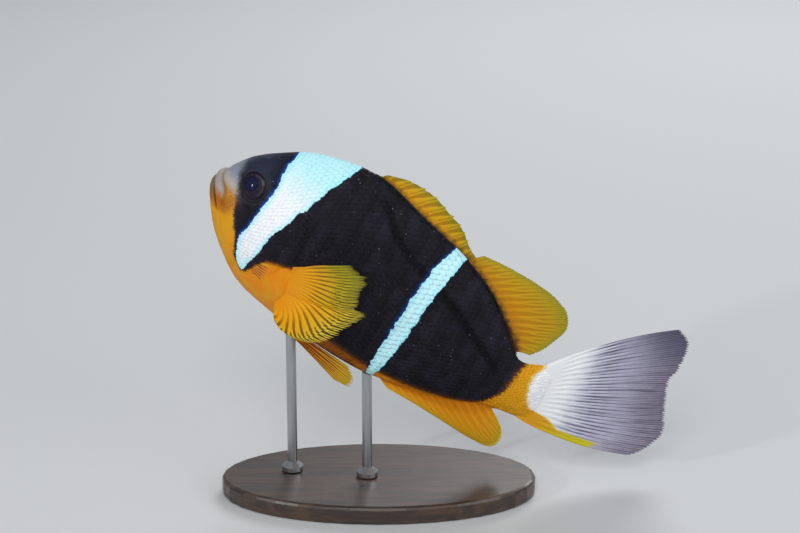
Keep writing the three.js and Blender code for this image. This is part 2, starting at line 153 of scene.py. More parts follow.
# %% Values and finishes
class Value:
    def __init__(self, finish, socket):
        self.finish, self.socket = finish, socket

    def math(self, operation, other=None):
        return self.finish.node("Math", {0: self, 1: other}, operation=operation)

    __add__ = __radd__ = partialmethod(math, "ADD")
    __sub__ = partialmethod(math, "SUBTRACT")
    __mul__ = __rmul__ = partialmethod(math, "MULTIPLY")
    __truediv__ = partialmethod(math, "DIVIDE")

    def __rsub__(self, other):
        return self.finish.node("Math", {0: other, 1: self}, operation="SUBTRACT")

    def rise(self, low, high):
        """0 below low, 1 above high, and a smooth step between."""
        return self.finish.node("MapRange", {0: self, 1: low, 2: high}, interpolation_type="SMOOTHSTEP")

    def fall(self, low, high):
        return 1 - self.rise(low, high)

    def towards(self, other, share):
        return self + (other - self) * share

    def noise(self, scale, detail, roughness=0.5):
        inputs = {"Vector": self, "Scale": scale, "Detail": detail, "Roughness": roughness}
        return self.finish.node("TexNoise", inputs)

    def wobble(self, size, scale, detail):
        """Noise that swings round 0."""
        return (self.noise(scale, detail) - 0.5) * size

    def cells(self, scale):
        return self.finish.node("TexVoronoi", {"Vector": self, "Scale": scale})

    def stretch(self, scale):
        return self.finish.node("VectorMath", {0: self, 1: scale}, operation="MULTIPLY")

    def split(self):
        made = self.finish.node("SeparateXYZ", {0: self}).socket.node
        return [Value(self.finish, socket) for socket in made.outputs]

    def ramp(self, stops):
        made = self.finish.node("ValToRGB", {0: self})
        elements = made.socket.node.color_ramp.elements
        grow(elements, stops, 0.5)
        for element, (position, *levels) in zip(elements, stops):
            element.position = position
            element.color = paint(*levels)
        return made

    def curve(self, points):
        made = self.finish.node("FloatCurve", {"Value": self})
        mapping = made.socket.node.mapping
        grow(mapping.curves[0].points, points, 0.5, 0.5)
        for knot, point in zip(mapping.curves[0].points, points):
            knot.location = point
            knot.handle_type = "AUTO_CLAMPED"
        mapping.update()
        return made

    def bump(self, distance, strength):
        return self.finish.node("Bump", {"Height": self, "Distance": distance, "Strength": strength})


class Finish:
    def __init__(self, name):
        self.material = bpy.data.materials.new(name)
        self.material.use_nodes = True
        self.tree = self.material.node_tree

    def feed(self, socket, value):
        if isinstance(value, Value):
            self.tree.links.new(value.socket, socket)
        elif value is not None:
            socket.default_value = paint(*value) if socket.type == "RGBA" else value

    def node(self, kind, inputs, output=0, **settings):
        made = self.tree.nodes.new("ShaderNode" + kind)
        for key, value in settings.items():
            setattr(made, key, value)
        for place, value in inputs.items():
            self.feed(made.inputs[place], value)
        return Value(self, made.outputs[output])

    def attribute(self, name):
        return self.node("Attribute", {}, output=1, attribute_name=name)

    def object_place(self):
        return self.node("TexCoord", {}, output=3)

    def join(self, x, y, z):
        return self.node("CombineXYZ", {0: x, 1: y, 2: z})

    def mix(self, factor, first, second):
        return self.node("Mix", {0: factor, 6: first, 7: second}, output=2, data_type="RGBA")

    def lay(self, colour, layers):
        """Lays colours on a first one: each layer is its mask and its colour."""
        for mask, over in layers:
            colour = self.mix(mask, colour, over)
        return colour

    def surface(self, **sockets):
        for name, value in sockets.items():
            self.feed(self.tree.nodes["Principled BSDF"].inputs[name.replace("_", " ")], value)
        return self.material


def grow(items, wanted, *start):
    while len(items) < len(wanted):
        items.new(*start)


def paint(red, green, blue):
    """A colour from a paint chart's 0 to 255 levels, as the linear light that a shader takes."""
    def linear(level):
        share = level / 255
        return share / 12.92 if share <= 0.04045 else ((share + 0.055) / 1.055) ** 2.4
    return (linear(red), linear(green), linear(blue), 1)


floor.data.materials.append(Finish("floor_paper").surface(Base_Color=(206, 208, 210), Roughness=0.85))
print("mid grey in linear light:", round(paint(128, 128, 128)[0], 3))

# %% [markdown]
# ## The fish, laid out straight
# It is hard to think of scales and stripes on a body that curves and leans. So the fish is described
# straight first, in millimetres: x runs back from the snout, y to its right, z up. Short lists of heights
# and widths give its outline, and one smooth curve goes through each list.

# %% Outline of the straight fish
MM = 0.001
BACK = [[0, 6], [2, 10.4], [5, 15], [9, 18.8], [16, 23.9], [25, 27.3], [34, 28.4], [46, 26], [58, 23.2],
        [68, 19], [77, 12], [84, 5.6], [92, 6.8]]
BELLY = [[0, 2], [2, -0.7], [5, -5], [10, -9.8], [17, -14.3], [26, -16.2], [38, -17.2], [52, -16.9],
         [62, -14.9], [74, -12.2], [83, -9.4], [92, -10]]
HALF_WIDTH = [[0, 3], [3, 4.6], [9, 6.8], [18, 8.6], [28, 9.1], [44, 8.2], [60, 6.2], [74, 4], [84, 2.6],
              [92, 1.7]]
SNOUT_ROUNDING = 2.2  # over this length the front closes in a round
SNOUT_HEIGHT = 4.4  # height at which it closes
BACK_NARROWING = 0.14  # how much slimmer a section is near the back than near the belly
TAPER_START = 90  # from here the stem closes into the tail fin
SKIN_END = 95


def through(knots):
    """The smooth curve through a list of positions and values."""
    at, value = np.array(knots, float).T
    slope = np.append(value[1:], value[-1]) - np.append(value[0], value[:-1])
    slope /= np.append(at[1:], at[-1]) - np.append(at[0], at[:-1])

    def curve(x):
        x = np.clip(x, at[0], at[-1])
        k = np.clip(np.searchsorted(at, x, side="right") - 1, 0, len(at) - 2)
        width = at[k + 1] - at[k]
        t = (x - at[k]) / width
        return (value[k] * (1 + 2 * t) * (1 - t) ** 2 + value[k + 1] * t * t * (3 - 2 * t)
                + slope[k] * width * t * (1 - t) ** 2 - slope[k + 1] * width * t * t * (1 - t))
    return curve


def smooth(t):
    t = np.clip(t, 0, 1)
    return t * t * (3 - 2 * t)


def coords(*parts):
    return np.stack(np.broadcast_arrays(*parts), axis=-1)


back, belly, half_width = through(BACK), through(BELLY), through(HALF_WIDTH)


def body_surface(x, angle):
    """A point of the body: the angle goes round the section, from the right side (0) over the back."""
    rounding = np.sqrt(1 - np.clip(1 - x / SNOUT_ROUNDING, 0, 1) ** 2)
    closing = np.sqrt(1 - np.clip((x - TAPER_START) / (SKIN_END - TAPER_START), 0, 1) ** 2)
    top = SNOUT_HEIGHT + (back(x) - SNOUT_HEIGHT) * rounding
    bottom = SNOUT_HEIGHT + (belly(x) - SNOUT_HEIGHT) * rounding
    width = half_width(x) * rounding * closing * (1 - BACK_NARROWING * np.sin(angle))
    height = (top + bottom) / 2 + (top - bottom) / 2 * np.sin(angle)
    return coords(x, width * np.cos(angle), height)


def unit(vectors):
    return vectors / np.maximum(np.linalg.norm(vectors, axis=-1, keepdims=True), 1e-12)


def body_outward(x, angle, step=0.01):
    x = np.clip(x, 2 * step, SKIN_END - 0.1)
    along = body_surface(x + step, angle) - body_surface(x - step, angle)
    around = body_surface(x, angle + step) - body_surface(x, angle - step)
    return unit(np.cross(around, along))


def side_of_body(x, z):
    """Half width of the body at a place seen from the side."""
    sine = np.clip((z - (back(x) + belly(x)) / 2) / ((back(x) - belly(x)) / 2), -1, 1)
    return half_width(x) * (1 - BACK_NARROWING * sine) * np.sqrt(1 - sine * sine)


print("deepest section:", round(float(back(34) - belly(34)), 1), "mm")

# %% [markdown]
# ## The pose
# The spine curves the rear half to the fish's right and lifts the tail a little. Then the whole fish is
# turned, banked and pitched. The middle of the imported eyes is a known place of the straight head, so the
# skin lands on the CAD model without fitting.

# %% From the straight fish to the posed one
BEND_START, BEND_END, BEND_SIDEWAYS = 48, 98, math.radians(28)
FLEX_START, FLEX_END, FLEX_UP = 80, 100, math.radians(6)
YAW, PITCH, BANK = math.radians(10), math.radians(29.5), math.radians(13)
EYE_X, EYE_Z = 9.2, 11.7
SPINE_STEP = 0.1


def sideways(x):
    return BEND_SIDEWAYS * smooth((x - BEND_START) / (BEND_END - BEND_START))


def spine_direction(x):
    lift = FLEX_UP * smooth((x - FLEX_START) / (FLEX_END - FLEX_START))
    swing = sideways(x)
    return coords(np.cos(swing) * np.cos(lift), np.sin(swing) * np.cos(lift), np.sin(lift))


spine_x = np.arange(-10, 150, SPINE_STEP)
spine = np.cumsum(spine_direction(spine_x + SPINE_STEP / 2) * SPINE_STEP, axis=0)
spine = np.vstack([np.zeros(3), spine[:-1]]) + [spine_x[0], 0, 0]
attitude = np.array(Matrix.Rotation(PITCH, 3, "Y") @ Matrix.Rotation(BANK, 3, "X")
                    @ Matrix.Rotation(-YAW, 3, "Z"))
eyes_middle = sum((corner for side in ("left", "right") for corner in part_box("eye_" + side)), Vector()) / 4
snout = np.array(eyes_middle) / MM - attitude @ [EYE_X, 0, EYE_Z]


def posed(points):
    """Where points of the straight fish, in millimetres, are on the model, in metres."""
    x = points[..., 0]
    centre = coords(*(np.interp(x, spine_x, along) for along in spine.T))
    across = coords(-np.sin(sideways(x)), np.cos(sideways(x)), 0)
    up = np.cross(spine_direction(x), across)
    curved = centre + across * points[..., 1:2] + up * points[..., 2:3]
    return (curved @ attitude.T + snout) * MM


print("snout at", np.round(snout, 2), "mm")

# %% [markdown]
# ## Mesh helpers
# Every soft piece starts as a flat grid. Its two directions become two numbers from 0 to 1, and a formula
# carries each vertex to its place. Numbers that a finish needs, such as where a vertex lies on the
# straight fish, are kept on the mesh as attributes.


# %% Grids, sheets and attributes
def unit_grid(columns, rows):
    shape = bmesh.new()
    bmesh.ops.create_grid(shape, x_segments=columns, y_segments=rows, size=0.5)
    bmesh.ops.translate(shape, vec=(0.5, 0.5, 0), verts=shape.verts)
    return shape


def unit_sheet(columns, rows):
    """A grid with a thickness: a closed box one cell thick, from z = 0 to z = 1."""
    shape = unit_grid(columns, rows)
    lifted = bmesh.ops.extrude_face_region(shape, geom=shape.faces[:], use_keep_orig=True)["geom"]
    top = [item for item in lifted if isinstance(item, bmesh.types.BMVert)]
    bmesh.ops.translate(shape, vec=(0, 0, 1), verts=top)
    return shape


def vertices(mesh):
    flat = np.empty(len(mesh.vertices) * 3, np.float32)
    mesh.vertices.foreach_get("co", flat)
    return flat.reshape(-1, 3).astype(float)


def move_vertices(mesh, points):
    mesh.vertices.foreach_set("co", points.astype(np.float32).ravel())
    mesh.update()


def keep(mesh, name, *parts):
    kept = mesh.attributes.new(name, "FLOAT_VECTOR", "POINT")
    kept.data.foreach_set("vector", coords(*parts).astype(np.float32).ravel())


def weld(mesh, distance=1e-6):
    """Joins vertices that fell on one place and turns every face outwards."""
    shape = bmesh.new()
    shape.from_mesh(mesh)
    bmesh.ops.remove_doubles(shape, verts=shape.verts, dist=distance)
    bmesh.ops.recalc_face_normals(shape, faces=shape.faces)
    shape.to_mesh(mesh)
    shape.free()


def finish_piece(name, mesh, material, slot, *nodes):
    mesh.materials.append(material)
    mesh.shade_smooth()
    piece = link_mesh(name, mesh)
    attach(piece, "root")
    if nodes:
        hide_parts(*nodes)
    print(f"{name}: {sum(len(face.vertices) - 2 for face in mesh.polygons)} triangles")
    return piece


# %% [markdown]
# ## The lie of the face
# The mouth is a short steep slit between two rolled lips, the eye sits in a soft orbit, the cheek ends in
# a fold and the gill cover in a free edge. Each is a line drawn on the side of the head, and the distance
# to that line says how far the skin rises or sinks.

# %% Lines on the side of the head, each from front to back or from top to bottom
MOUTH = [[-1, 6.9], [0.3, 6.25], [0.9, 5.7], [1.8, 4.7], [2.7, 3.7], [3.5, 2.6], [4.6, 1]]
LIP_REAR = [[-0.5, 9.3], [0.3, 8.6], [1.3, 7.9], [2.6, 7.35], [3.6, 6.7], [4.2, 5.7], [4.7, 4.2],
            [5, 2.6], [5, 1]]
CHEEK_FOLD = [[14.6, 11], [15, 6], [14.2, 0.5], [12, -4], [9, -7]]
GILL_EDGE = [[18.4, 16.6], [22.4, 14.2], [24.7, 9.5], [25.2, 3.6], [24.2, -2], [22, -6.5],
             [19.5, -10], [15.5, -12.6]]
JAW_EDGE = [[4.9, 0.6], [7.2, -2.2], [9, -5], [10, -9]]
PAPILLAE = [(4.4, 8.7), (6.4, 7.9), (6.6, 6.8), (8.1, 6.8), (10, 9.3), (6.7, 11.4), (5.3, 6.2), (7.3, 5.6)]
LIP_HEIGHT, LOWER_LIP_HEIGHT, LOWER_LIP_WIDTH = 1, 0.8, 1.7
NOSTRIL = (4.9, 10.7)
BODY_FOLD = [[36, 25.75], [39.75, 23.25], [43.5, 20.5], [46.75, 18.75], [50, 17.5], [59.5, 14.25],
             [64.5, 11.5], [70, 8.25], [74.75, 5], [79.5, 1.75], [82.25, -1.25]]


def line_distance(line, x, z):
    """Distance to a line in millimetres, positive above or behind it."""
    nearest = np.full(np.shape(x), 1e9)
    signed = np.zeros(np.shape(x))
    for (x0, z0), (x1, z1) in zip(line, line[1:]):
        run, rise = x1 - x0, z1 - z0
        t = np.clip(((x - x0) * run + (z - z0) * rise) / (run * run + rise * rise), 0, 1)
        away = np.hypot(x - x0 - t * run, z - z0 - t * rise)
        turn = np.sign(run * (z - z0) - rise * (x - x0))
        signed = np.where(away < nearest, away * np.where(turn == 0, 1, turn), signed)
        nearest = np.minimum(nearest, away)
    return signed


def ridge(distance, width):
    return np.exp(-(distance / width) ** 2)


def roll(share):
    """The round section of a lip, from 0 at one edge over 1 in the middle to 0 at the other."""
    inside = np.clip(share, 0, 1)
    return np.sqrt(4 * inside * (1 - inside))


def lips(x, z):
    mouth = line_distance(MOUTH, x, z)
    behind = line_distance(LIP_REAR, x, z)
    thinning = smooth((5.6 - x) / 3.5)
    upper = np.where((mouth > 0) & (behind < 0), roll(mouth / np.maximum(mouth - behind, 0.01)), 0)
    lower = np.where(mouth < 0, roll(-mouth / LOWER_LIP_WIDTH), 0) * smooth((4.9 - x) / 1.5)
    height = LIP_HEIGHT * upper * (0.35 + 0.65 * thinning) + LOWER_LIP_HEIGHT * lower
    height -= 0.9 * ridge(mouth, 0.2) * (x < 4.8)
    height -= 0.28 * ridge(behind, 0.28) * (mouth > 0)
    height -= 0.08 * ridge(behind + 0.75, 0.16) * (mouth > 0.3)
    height -= 0.16 * ridge(mouth + LOWER_LIP_WIDTH + 0.1, 0.3) * (x < 5.2)
    return height


def orbit(x, z):
    r = np.hypot(x - EYE_X, z - EYE_Z)
    return (-0.9 * smooth((3 - r) / 0.4) + 0.06 * ridge(r - 3.3, 0.3) - 0.04 * ridge(r - 3.85, 0.3)
            + 0.03 * ridge(r - 4.5, 0.4) - 0.03 * ridge(r - 5.2, 0.4))


def gill_cover(x, z):
    edge = line_distance(GILL_EDGE, x, z)  # positive behind the free edge
    plate = 0.34 * smooth((x - 13) / 9) * smooth((0.15 - edge) / 0.4)
    groove = -0.22 * ridge(edge - 0.35, 0.35)
    return (plate + groove) * smooth((18 - z) / 7) * smooth((z + 5) / 4) * smooth((30 - x) / 2)


def fin_roots(x, z, angle):
    pectoral = 0.9 * np.exp(-((x - 27.6) / 2.6) ** 2 - ((z + 5) / 5.2) ** 2)
    pelvic = 0.9 * np.exp(-((x - 32.8) / 2.8) ** 2 - ((z + 16) / 1.4) ** 2)
    dorsal = 0.45 * ridge(angle - math.pi / 2, 0.09) * smooth((x - 30) / 3) * smooth((83 - x) / 3)
    anal = 0.45 * ridge(angle + math.pi / 2, 0.12) * smooth((x - 56) / 3) * smooth((86 - x) / 3)
    return pectoral + pelvic + dorsal + anal


def relief(x, z, angle):
    """How far the skin stands above the smooth body, in millimetres."""
    height = lips(x, z) + orbit(x, z) + gill_cover(x, z) + fin_roots(x, z, angle)
    for line, depth, width in ((CHEEK_FOLD, 0.12, 0.35), (JAW_EDGE, 0.12, 0.35), (BODY_FOLD, 0.15, 0.9)):
        height -= depth * ridge(line_distance(line, x, z), width)
    from_nostril = np.hypot(x - NOSTRIL[0], z - NOSTRIL[1])
    height -= 0.35 * ridge(from_nostril, 0.28)
    height += 0.12 * ridge(from_nostril - 0.55, 0.16)
    height += 0.04 * np.sin(1.3 * x + 0.7 * z) * np.sin(0.9 * z - 0.5 * x) * smooth((x - 1) / 4)
    return height


print("gill edge at", [round(float(line_distance(GILL_EDGE, x, 3.6)), 2) for x in (20, 25.2, 27)])

# %% [markdown]
# ## One skin
# A real fish has no seams, so one closed sheet covers head, gill covers, lips, trunk and tail stem. It
# lies an eighth of a millimetre inside the CAD flesh, which leaves room for the scales. Its rings are
# closest at the lips and the eye, where the folds are, and its columns crowd on the flanks.

# %% Skin mesh
COAT = 0.12  # depth of the scales, in millimetres
SKIN_RINGS, SKIN_COLUMNS = 290, 320
RING_CROWDING = 1.9
FLANK_CROWDING = 0.175
PAPILLA_WIDTH = 0.24

skin_mesh = to_mesh(unit_grid(SKIN_COLUMNS, SKIN_RINGS), "fish_skin")
flat = vertices(skin_mesh)
turn = (flat[:, 0] - 0.5) * 2 * math.pi
skin_angle = turn - FLANK_CROWDING * np.sin(2 * turn)
skin_x = SKIN_END * flat[:, 1] ** RING_CROWDING
smooth_body = body_surface(skin_x, skin_angle)
skin_z = smooth_body[:, 2]
skin_height = relief(skin_x, skin_z, skin_angle) - COAT
straight_skin = smooth_body + body_outward(skin_x, skin_angle) * skin_height[:, None]
move_vertices(skin_mesh, posed(straight_skin))

papillae = sum(ridge(np.hypot(skin_x - x, skin_z - z), PAPILLA_WIDTH) for x, z in PAPILLAE)
lip_lines = [line_distance(line, skin_x, skin_z) for line in (MOUTH, LIP_REAR)]
keep(skin_mesh, "fish", skin_x, straight_skin[:, 1], skin_z)
keep(skin_mesh, "face", *lip_lines, papillae)
weld(skin_mesh)
print("skin vertices:", len(skin_mesh.vertices))

# %% [markdown]
# ## The colours of the fish
# Skin and scales share one pattern, a function of the place on the straight fish. Two white bars have
# edges that are curves of height. The black has its own front, floor and rear edge, and shades through
# brown into the orange of throat, belly and tail stem.

# %% Where the markings are: (height, distance from the snout)
HEAD_BAR_FRONT = [(-20, 17.5), (-8.2, 16.9), (-7.5, 15.6), (-6, 14.2), (-4, 13.5), (-2, 12.7), (0, 12.5),
                  (4, 13.2), (10, 13.8), (15, 14.2), (18, 13.6), (22, 13.8), (30, 13.8)]
HEAD_BAR_REAR = [(-20, 16.5), (-8.2, 16.9), (-4, 17.8), (0, 18.5), (4, 18.9), (8, 20.2), (12, 21.4),
                 (13.3, 21.8), (14.2, 22.5), (18, 23.6), (22, 25), (26.5, 27.2), (30, 28.6)]
MIDDLE_BAR_FRONT = [(-20, 55.4), (-16.5, 54.5), (-12, 54), (-5, 53.9), (8, 53.8), (16, 54.2), (20, 54.7),
                    (23.3, 55.9), (30, 58)]
MIDDLE_BAR_REAR = [(-20, 55.5), (-16, 55.9), (-12, 56.5), (-5, 57.1), (0, 57.4), (10, 57.7), (16, 58.2),
                   (23, 59.5), (30, 61)]
BLACK_FRONT = [(-20, 18.5), (-8, 16.3), (-7, 14.9), (-6, 14), (-4, 13.2), (-2, 12.1), (0, 11.1), (2, 9.6),
               (4, 8.6), (6, 7.6), (7.5, 6.6), (9, 5.3), (10, 4.8), (12, 3.8), (14, 3.8), (16, 4.7),
               (19, 7.6), (30, 10)]
BLACK_REAR = [(-20, 79), (-10, 80), (-5, 82.5), (0, 84), (3, 84.4), (5, 85.4), (7, 86.6), (12, 87), (30, 88)]
WHITE_TAIL_FRONT = [(-20, 118), (-14.5, 114.5), (-13, 110.5), (-12.2, 106), (-11, 103), (-9.6, 101),
                    (-8.2, 98.8), (-7.2, 96), (-5.8, 92.9), (-2.75, 90.6), (-0.25, 89.6), (2.75, 89.3),
                    (5.75, 90.8), (30, 91.5)]
# and these the other way round: (distance from the snout, height)
BLACK_FLOOR = [(0, -20), (14, -8.4), (17, -7.7), (18.3, -6), (19.3, -3.6), (20.1, -2.1), (21.4, -0.7),
               (23.3, 0.2), (25.3, 0.9), (27.6, 1.5), (29, 0.5), (31, -4.5), (36, -8.8), (42, -10.6),
               (50, -11.8), (57, -12), (75, -10), (80, -8.4), (86, -4), (100, 0)]
FOLD_HEIGHT = [(0, 30), (36, 25.75), (43.5, 20.5), (50, 17.5), (59.5, 14.25), (70, 8.25), (79.5, 1.75),
               (82.25, -1.25), (110, -20)]
HEIGHTS, LENGTHS, TAIL_LENGTHS = (-20, 30), (0, 110), (80, 120)


def edge_curve(position, knots, span=HEIGHTS, reach=LENGTHS):
    """Reads an edge's curve at a position that runs over span, as a value that runs over reach."""
    def share(value, ends):
        return (value - ends[0]) / (ends[1] - ends[0])
    read = share(position, span).curve([(share(at, span), share(value, reach)) for at, value in knots])
    return read * (reach[1] - reach[0]) + reach[0]


print("head bar at mid height:", HEAD_BAR_FRONT[7], HEAD_BAR_REAR[5])

# %% Colours
BLACK = (24, 23, 29)
BLACK_VIOLET = (33, 30, 41)
PAINTED_SHADE_BLACK = (7, 7, 11)
FOREHEAD_SHEEN = (38, 42, 60)
NIGHT_BLUE = (20, 54, 130)
NAVY = (12, 20, 58)
WHITE = (238, 242, 247)
ICE = (158, 236, 250)
PALE_CYAN = (186, 238, 246)
ORANGE = (218, 132, 14)
GOLD = (212, 150, 24)
PALE_GOLD = (226, 186, 60)
BROWN = (96, 54, 18)
BELLY_BROWN_AND_SHADE = (146, 80, 12)
SNOUT_GREY = (134, 141, 156)
PALE_SNOUT = (170, 162, 152)
LIP_GREY = (156, 147, 142)
AMBER = (176, 118, 38)
BURNT_ORANGE = (164, 96, 28)
UMBER = (86, 62, 50)
OLIVE = (128, 98, 52)
LIP_RIM_HIGHLIGHT = (206, 186, 160)
SPECK = (150, 150, 165)


def bar(finish, x, z, front, rear, lowest, cyan, blue):
    """The layers of a white bar: a dark line before it, a thin one behind it, and the white with icy rims."""
    from_front = x - edge_curve(z, front)
    from_rear = edge_curve(z, rear) - x
    inside = from_front.rise(-0.1, 0.1) * from_rear.rise(-0.1, 0.1)
    rim = from_front.math("MINIMUM", from_rear).fall(0, 1.6)
    ahead = from_front * (z.fall(-7, 1) * 0.9 + 1)  # the line thins out downwards
    line = ahead.rise(-1.1, -0.6) * from_front.fall(-0.1, 0.1)
    line_colour = finish.mix(ahead.rise(-0.75, -0.3) * z.rise(-8, 2), NAVY, NIGHT_BLUE)
    line_behind = from_rear.rise(-0.5, -0.1) * from_rear.fall(-0.1, 0.1)
    return [(line * z.rise(lowest - 0.4, lowest + 0.4) * blue, line_colour),
            (line_behind * z.rise(lowest, lowest + 6) * 0.5, NAVY),
            (inside, finish.lay(WHITE, [(cyan, PALE_CYAN), (rim * 0.65, ICE)]))]


def face_colour(finish, colour, x, z):
    """Lays greys, ambers and lips on the throat's gold, with painted shade at the mouth and a painted lip
    highlight.
    """
    mouth, behind, dots = finish.attribute("face").split()
    place = finish.attribute("fish")
    lift = z + place.wobble(2.6, 0.8, 3)
    upper_lip = mouth.rise(0.02, 0.2) * behind.fall(-0.3, 0.1)
    lower_lip = mouth.fall(-0.3, 0) * mouth.rise(-2.4, -1.3) * z.rise(1.4, 4.2)
    rim = mouth.rise(-1.95, -1.6) * mouth.fall(-1.6, -1.2) * z.rise(1.8, 3.6)
    crease = behind.math("ABSOLUTE").fall(0.05, 0.35) * mouth.rise(0, 0.4) * x.fall(4.2, 5)
    slit = mouth.math("ABSOLUTE").fall(0.08, 0.3) * x.fall(4.5, 4.9)
    mottled = x.rise(3.4, 4.6) * lift.rise(2, 4) * lift.fall(8, 10)
    blotches = place.noise(1.6, 3).rise(0.5, 0.7) * x.rise(4, 7.5)
    freckles = place.cells(1.7).fall(0.12, 0.3) + blotches
    return finish.lay(colour, [
        (lift.rise(0, 3.4) * x.fall(5.6, 9), BURNT_ORANGE),
        (lift.rise(3.6, 5.6) * x.rise(3, 4.6), AMBER),
        (lift.rise(6.2, 8.6), PALE_SNOUT),
        (lift.rise(8.4, 10.8), SNOUT_GREY),
        (upper_lip * lift.rise(4, 6.2), LIP_GREY),
        # the lower lip is olive brown: partly its own colour, partly painted shade
        (lower_lip * 0.9, finish.mix(z.rise(4.2, 6), OLIVE, (112, 108, 106))),
        # painted highlight: a pale line along the lower lip's rim
        (rim * 0.8, LIP_RIM_HIGHLIGHT),
        # painted shade in the crease behind the upper lip
        (crease * 0.25, UMBER),
        # painted shade: the mouth slit between the lips is dark
        (slit * 0.85, (52, 34, 24)),
        (freckles * mottled * 0.5, UMBER),
        (dots.rise(0.35, 0.9) * 0.6, (214, 176, 110))])


def gill_creases(finish, x, z):
    """A fan of fine folds on the lower edge of the gill cover: where it is, and 0 to 1 across each fold."""
    along = x - 12
    slope = (z + 4.7 + finish.attribute("fish").wobble(0.8, 0.5, 2)) / along
    folds = (slope * 76 + along * 0.25).math("SINE").rise(-0.8, 0.5)
    return slope.rise(-0.29, -0.2) * slope.fall(0.2, 0.28) * along.rise(6.2, 7.2) * along.fall(9.2, 10.8), folds


def black_colour(finish, place, own, x, z):
    """Violet clouds, painted shade in faint bands along the columns of scales and in a fold, a painted forehead
    sheen, pale specks.
    """
    cloud = place.noise(0.22, 3)
    columns = (x * 1.35 + cloud * 7 + z * 0.1).math("SINE").rise(-0.6, 1)
    fold = (z - edge_curve(x, FOLD_HEIGHT, LENGTHS, HEIGHTS)).math("ABSOLUTE")
    specks = own.cells(0.75).fall(0.05, 0.12) * own.noise(0.5, 1).rise(0.5, 0.62)
    return finish.lay(BLACK, [
        (cloud.rise(0.42, 0.66), BLACK_VIOLET),
        # painted shade: faint darker bands along the columns of scales
        (columns * 0.3, PAINTED_SHADE_BLACK),
        # painted shade in the body's fold
        (fold.fall(0.4, 1.8) * x.rise(33, 38) * x.fall(78, 82) * 0.85, PAINTED_SHADE_BLACK),
        # painted sheen: a lighter slate blue on the top of the head
        (x.fall(8, 15) * z.rise(10, 15), FOREHEAD_SHEEN),
        (specks * 0.6, SPECK)])


def black_field(x, z, speckle):
    """How black a place is. The front is sharp low down and soft above, the floor soft behind the throat."""
    gap = x - edge_curve(z, BLACK_FRONT) + speckle * x.fall(8, 12) * z.fall(9, 15) * 0.5
    front = gap.rise(-1, 0.8).towards(gap.rise(-1.4, 2.6), z.rise(4, 9))
    front = front.towards(gap.rise(-3, 2.9), z.rise(11, 15))
    rear = (edge_curve(z, BLACK_REAR) - x + speckle).rise(-1.6, 1.4)
    over = z - edge_curve(x, BLACK_FLOOR, LENGTHS, HEIGHTS) + speckle * 0.4
    return front * rear * over.rise(-1.6, 0.9).towards(over.rise(-2.6, 2), x.rise(28, 36))


def fish_colour(finish, place, own, on_face):
    """The whole pattern. Its edges are read at place, and the fine specks at the vertex's own place."""
    x, _, z = place.split()
    creased, folds = gill_creases(finish, x, z)
    x = x + place.wobble(1.3, 0.55, 2) + place.wobble(0.5, 2.4, 1)
    cloud = place.noise(0.3, 3)
    colour = finish.lay(GOLD, [
        (x.rise(9, 17) * cloud.rise(0.25, 0.6), ORANGE),
        # the belly's brownish orange: partly its own colour, partly painted shade of the underside
        (x.rise(29, 34) * x.fall(50, 58), BELLY_BROWN_AND_SHADE),
        (x.rise(76, 88) * 0.9, (214, 152, 22)),
        # painted shade in the valleys of the gill cover's fine folds and a painted highlight on their ridges
        (creased * 0.9, finish.mix(folds, (122, 62, 8), (220, 142, 56)))])
    if on_face:
        colour = face_colour(finish, colour, x, z)
    speckle = place.wobble(2.6, 2.6, 1)
    dark = black_field(x, z, speckle)
    on_snout = x.fall(9, 12)
    tail = x - edge_curve(z, WHITE_TAIL_FRONT, reach=TAIL_LENGTHS) + speckle * 0.3
    # the head bar turns cyan towards its top and, at half strength, its bottom: its own tint, and at the top
    # partly painted shade too
    ends = z.rise(12, 24).math("MAXIMUM", z.fall(-8, -2) * 0.5)
    return finish.lay(colour, [
        (dark.rise(0, 0.6) * (1 - z.rise(4, 9) * on_snout), finish.mix(on_snout, BROWN, UMBER)),
        (dark.rise(0.15, 1), black_colour(finish, place, own, x, z)),
        (tail.rise(-1.6, -0.2) * 0.7, PALE_GOLD),
        (tail.rise(-0.8, 0.7), (240, 240, 243)),
        *bar(finish, x, z, HEAD_BAR_FRONT, HEAD_BAR_REAR, lowest=-8.3, cyan=ends, blue=0.95),
        *bar(finish, x, z, MIDDLE_BAR_FRONT, MIDDLE_BAR_REAR, lowest=-17.5, cyan=0.85, blue=0.55)])


print("colours ready")

# %% Skin finish
skin_finish = Finish("fish_skin")
skin_place = skin_finish.attribute("fish")
pores = skin_place.noise(3.2, 3, 0.6)
from_snout, _, above_middle = skin_place.split()
creased, folds = gill_creases(skin_finish, from_snout, above_middle)
skin_material = skin_finish.surface(
    Base_Color=fish_colour(skin_finish, skin_place, skin_place, on_face=True), Roughness=pores * 0.2 + 0.42,
    Normal=(pores * 0.6 + creased * folds).bump(0.00012, 0.6), Coat_Weight=0.02, Coat_Roughness=0.3,
    Specular_IOR_Level=0.14)
finish_piece("fish_skin", skin_mesh, skin_material, "skin_black", "head", "gill_cover_left", "gill_cover_right",
             "upper_lip", "lower_jaw", "trunk", "tail_stem")

# %% [markdown]
# ## A coat of scales
# Scales overlap like roof tiles, each half a tile across from its neighbours, its free edge towards the
# tail. They are small on the cheek, largest on the flank, and small again on the tail stem. One thin
# plate is shaped from a small grid, an Array modifier repeats it once for each scale, and every copy is
# laid on the body by its own place: a distance from the snout and an angle round the section.

# %% One scale
SCALE_ACROSS, SCALE_ALONG = 4, 3
SCALE_LENGTH, SCALE_WIDTH = 1.75, 1.24  # in steps of the lattice
ROOT_SINKS, TIP_RISES, CROWN = -0.026, 0.031, 0.01
SCALE_THICKNESS = 0.019
FULL_LIFT_LENGTH = 2.4  # shorter scales are lifted less

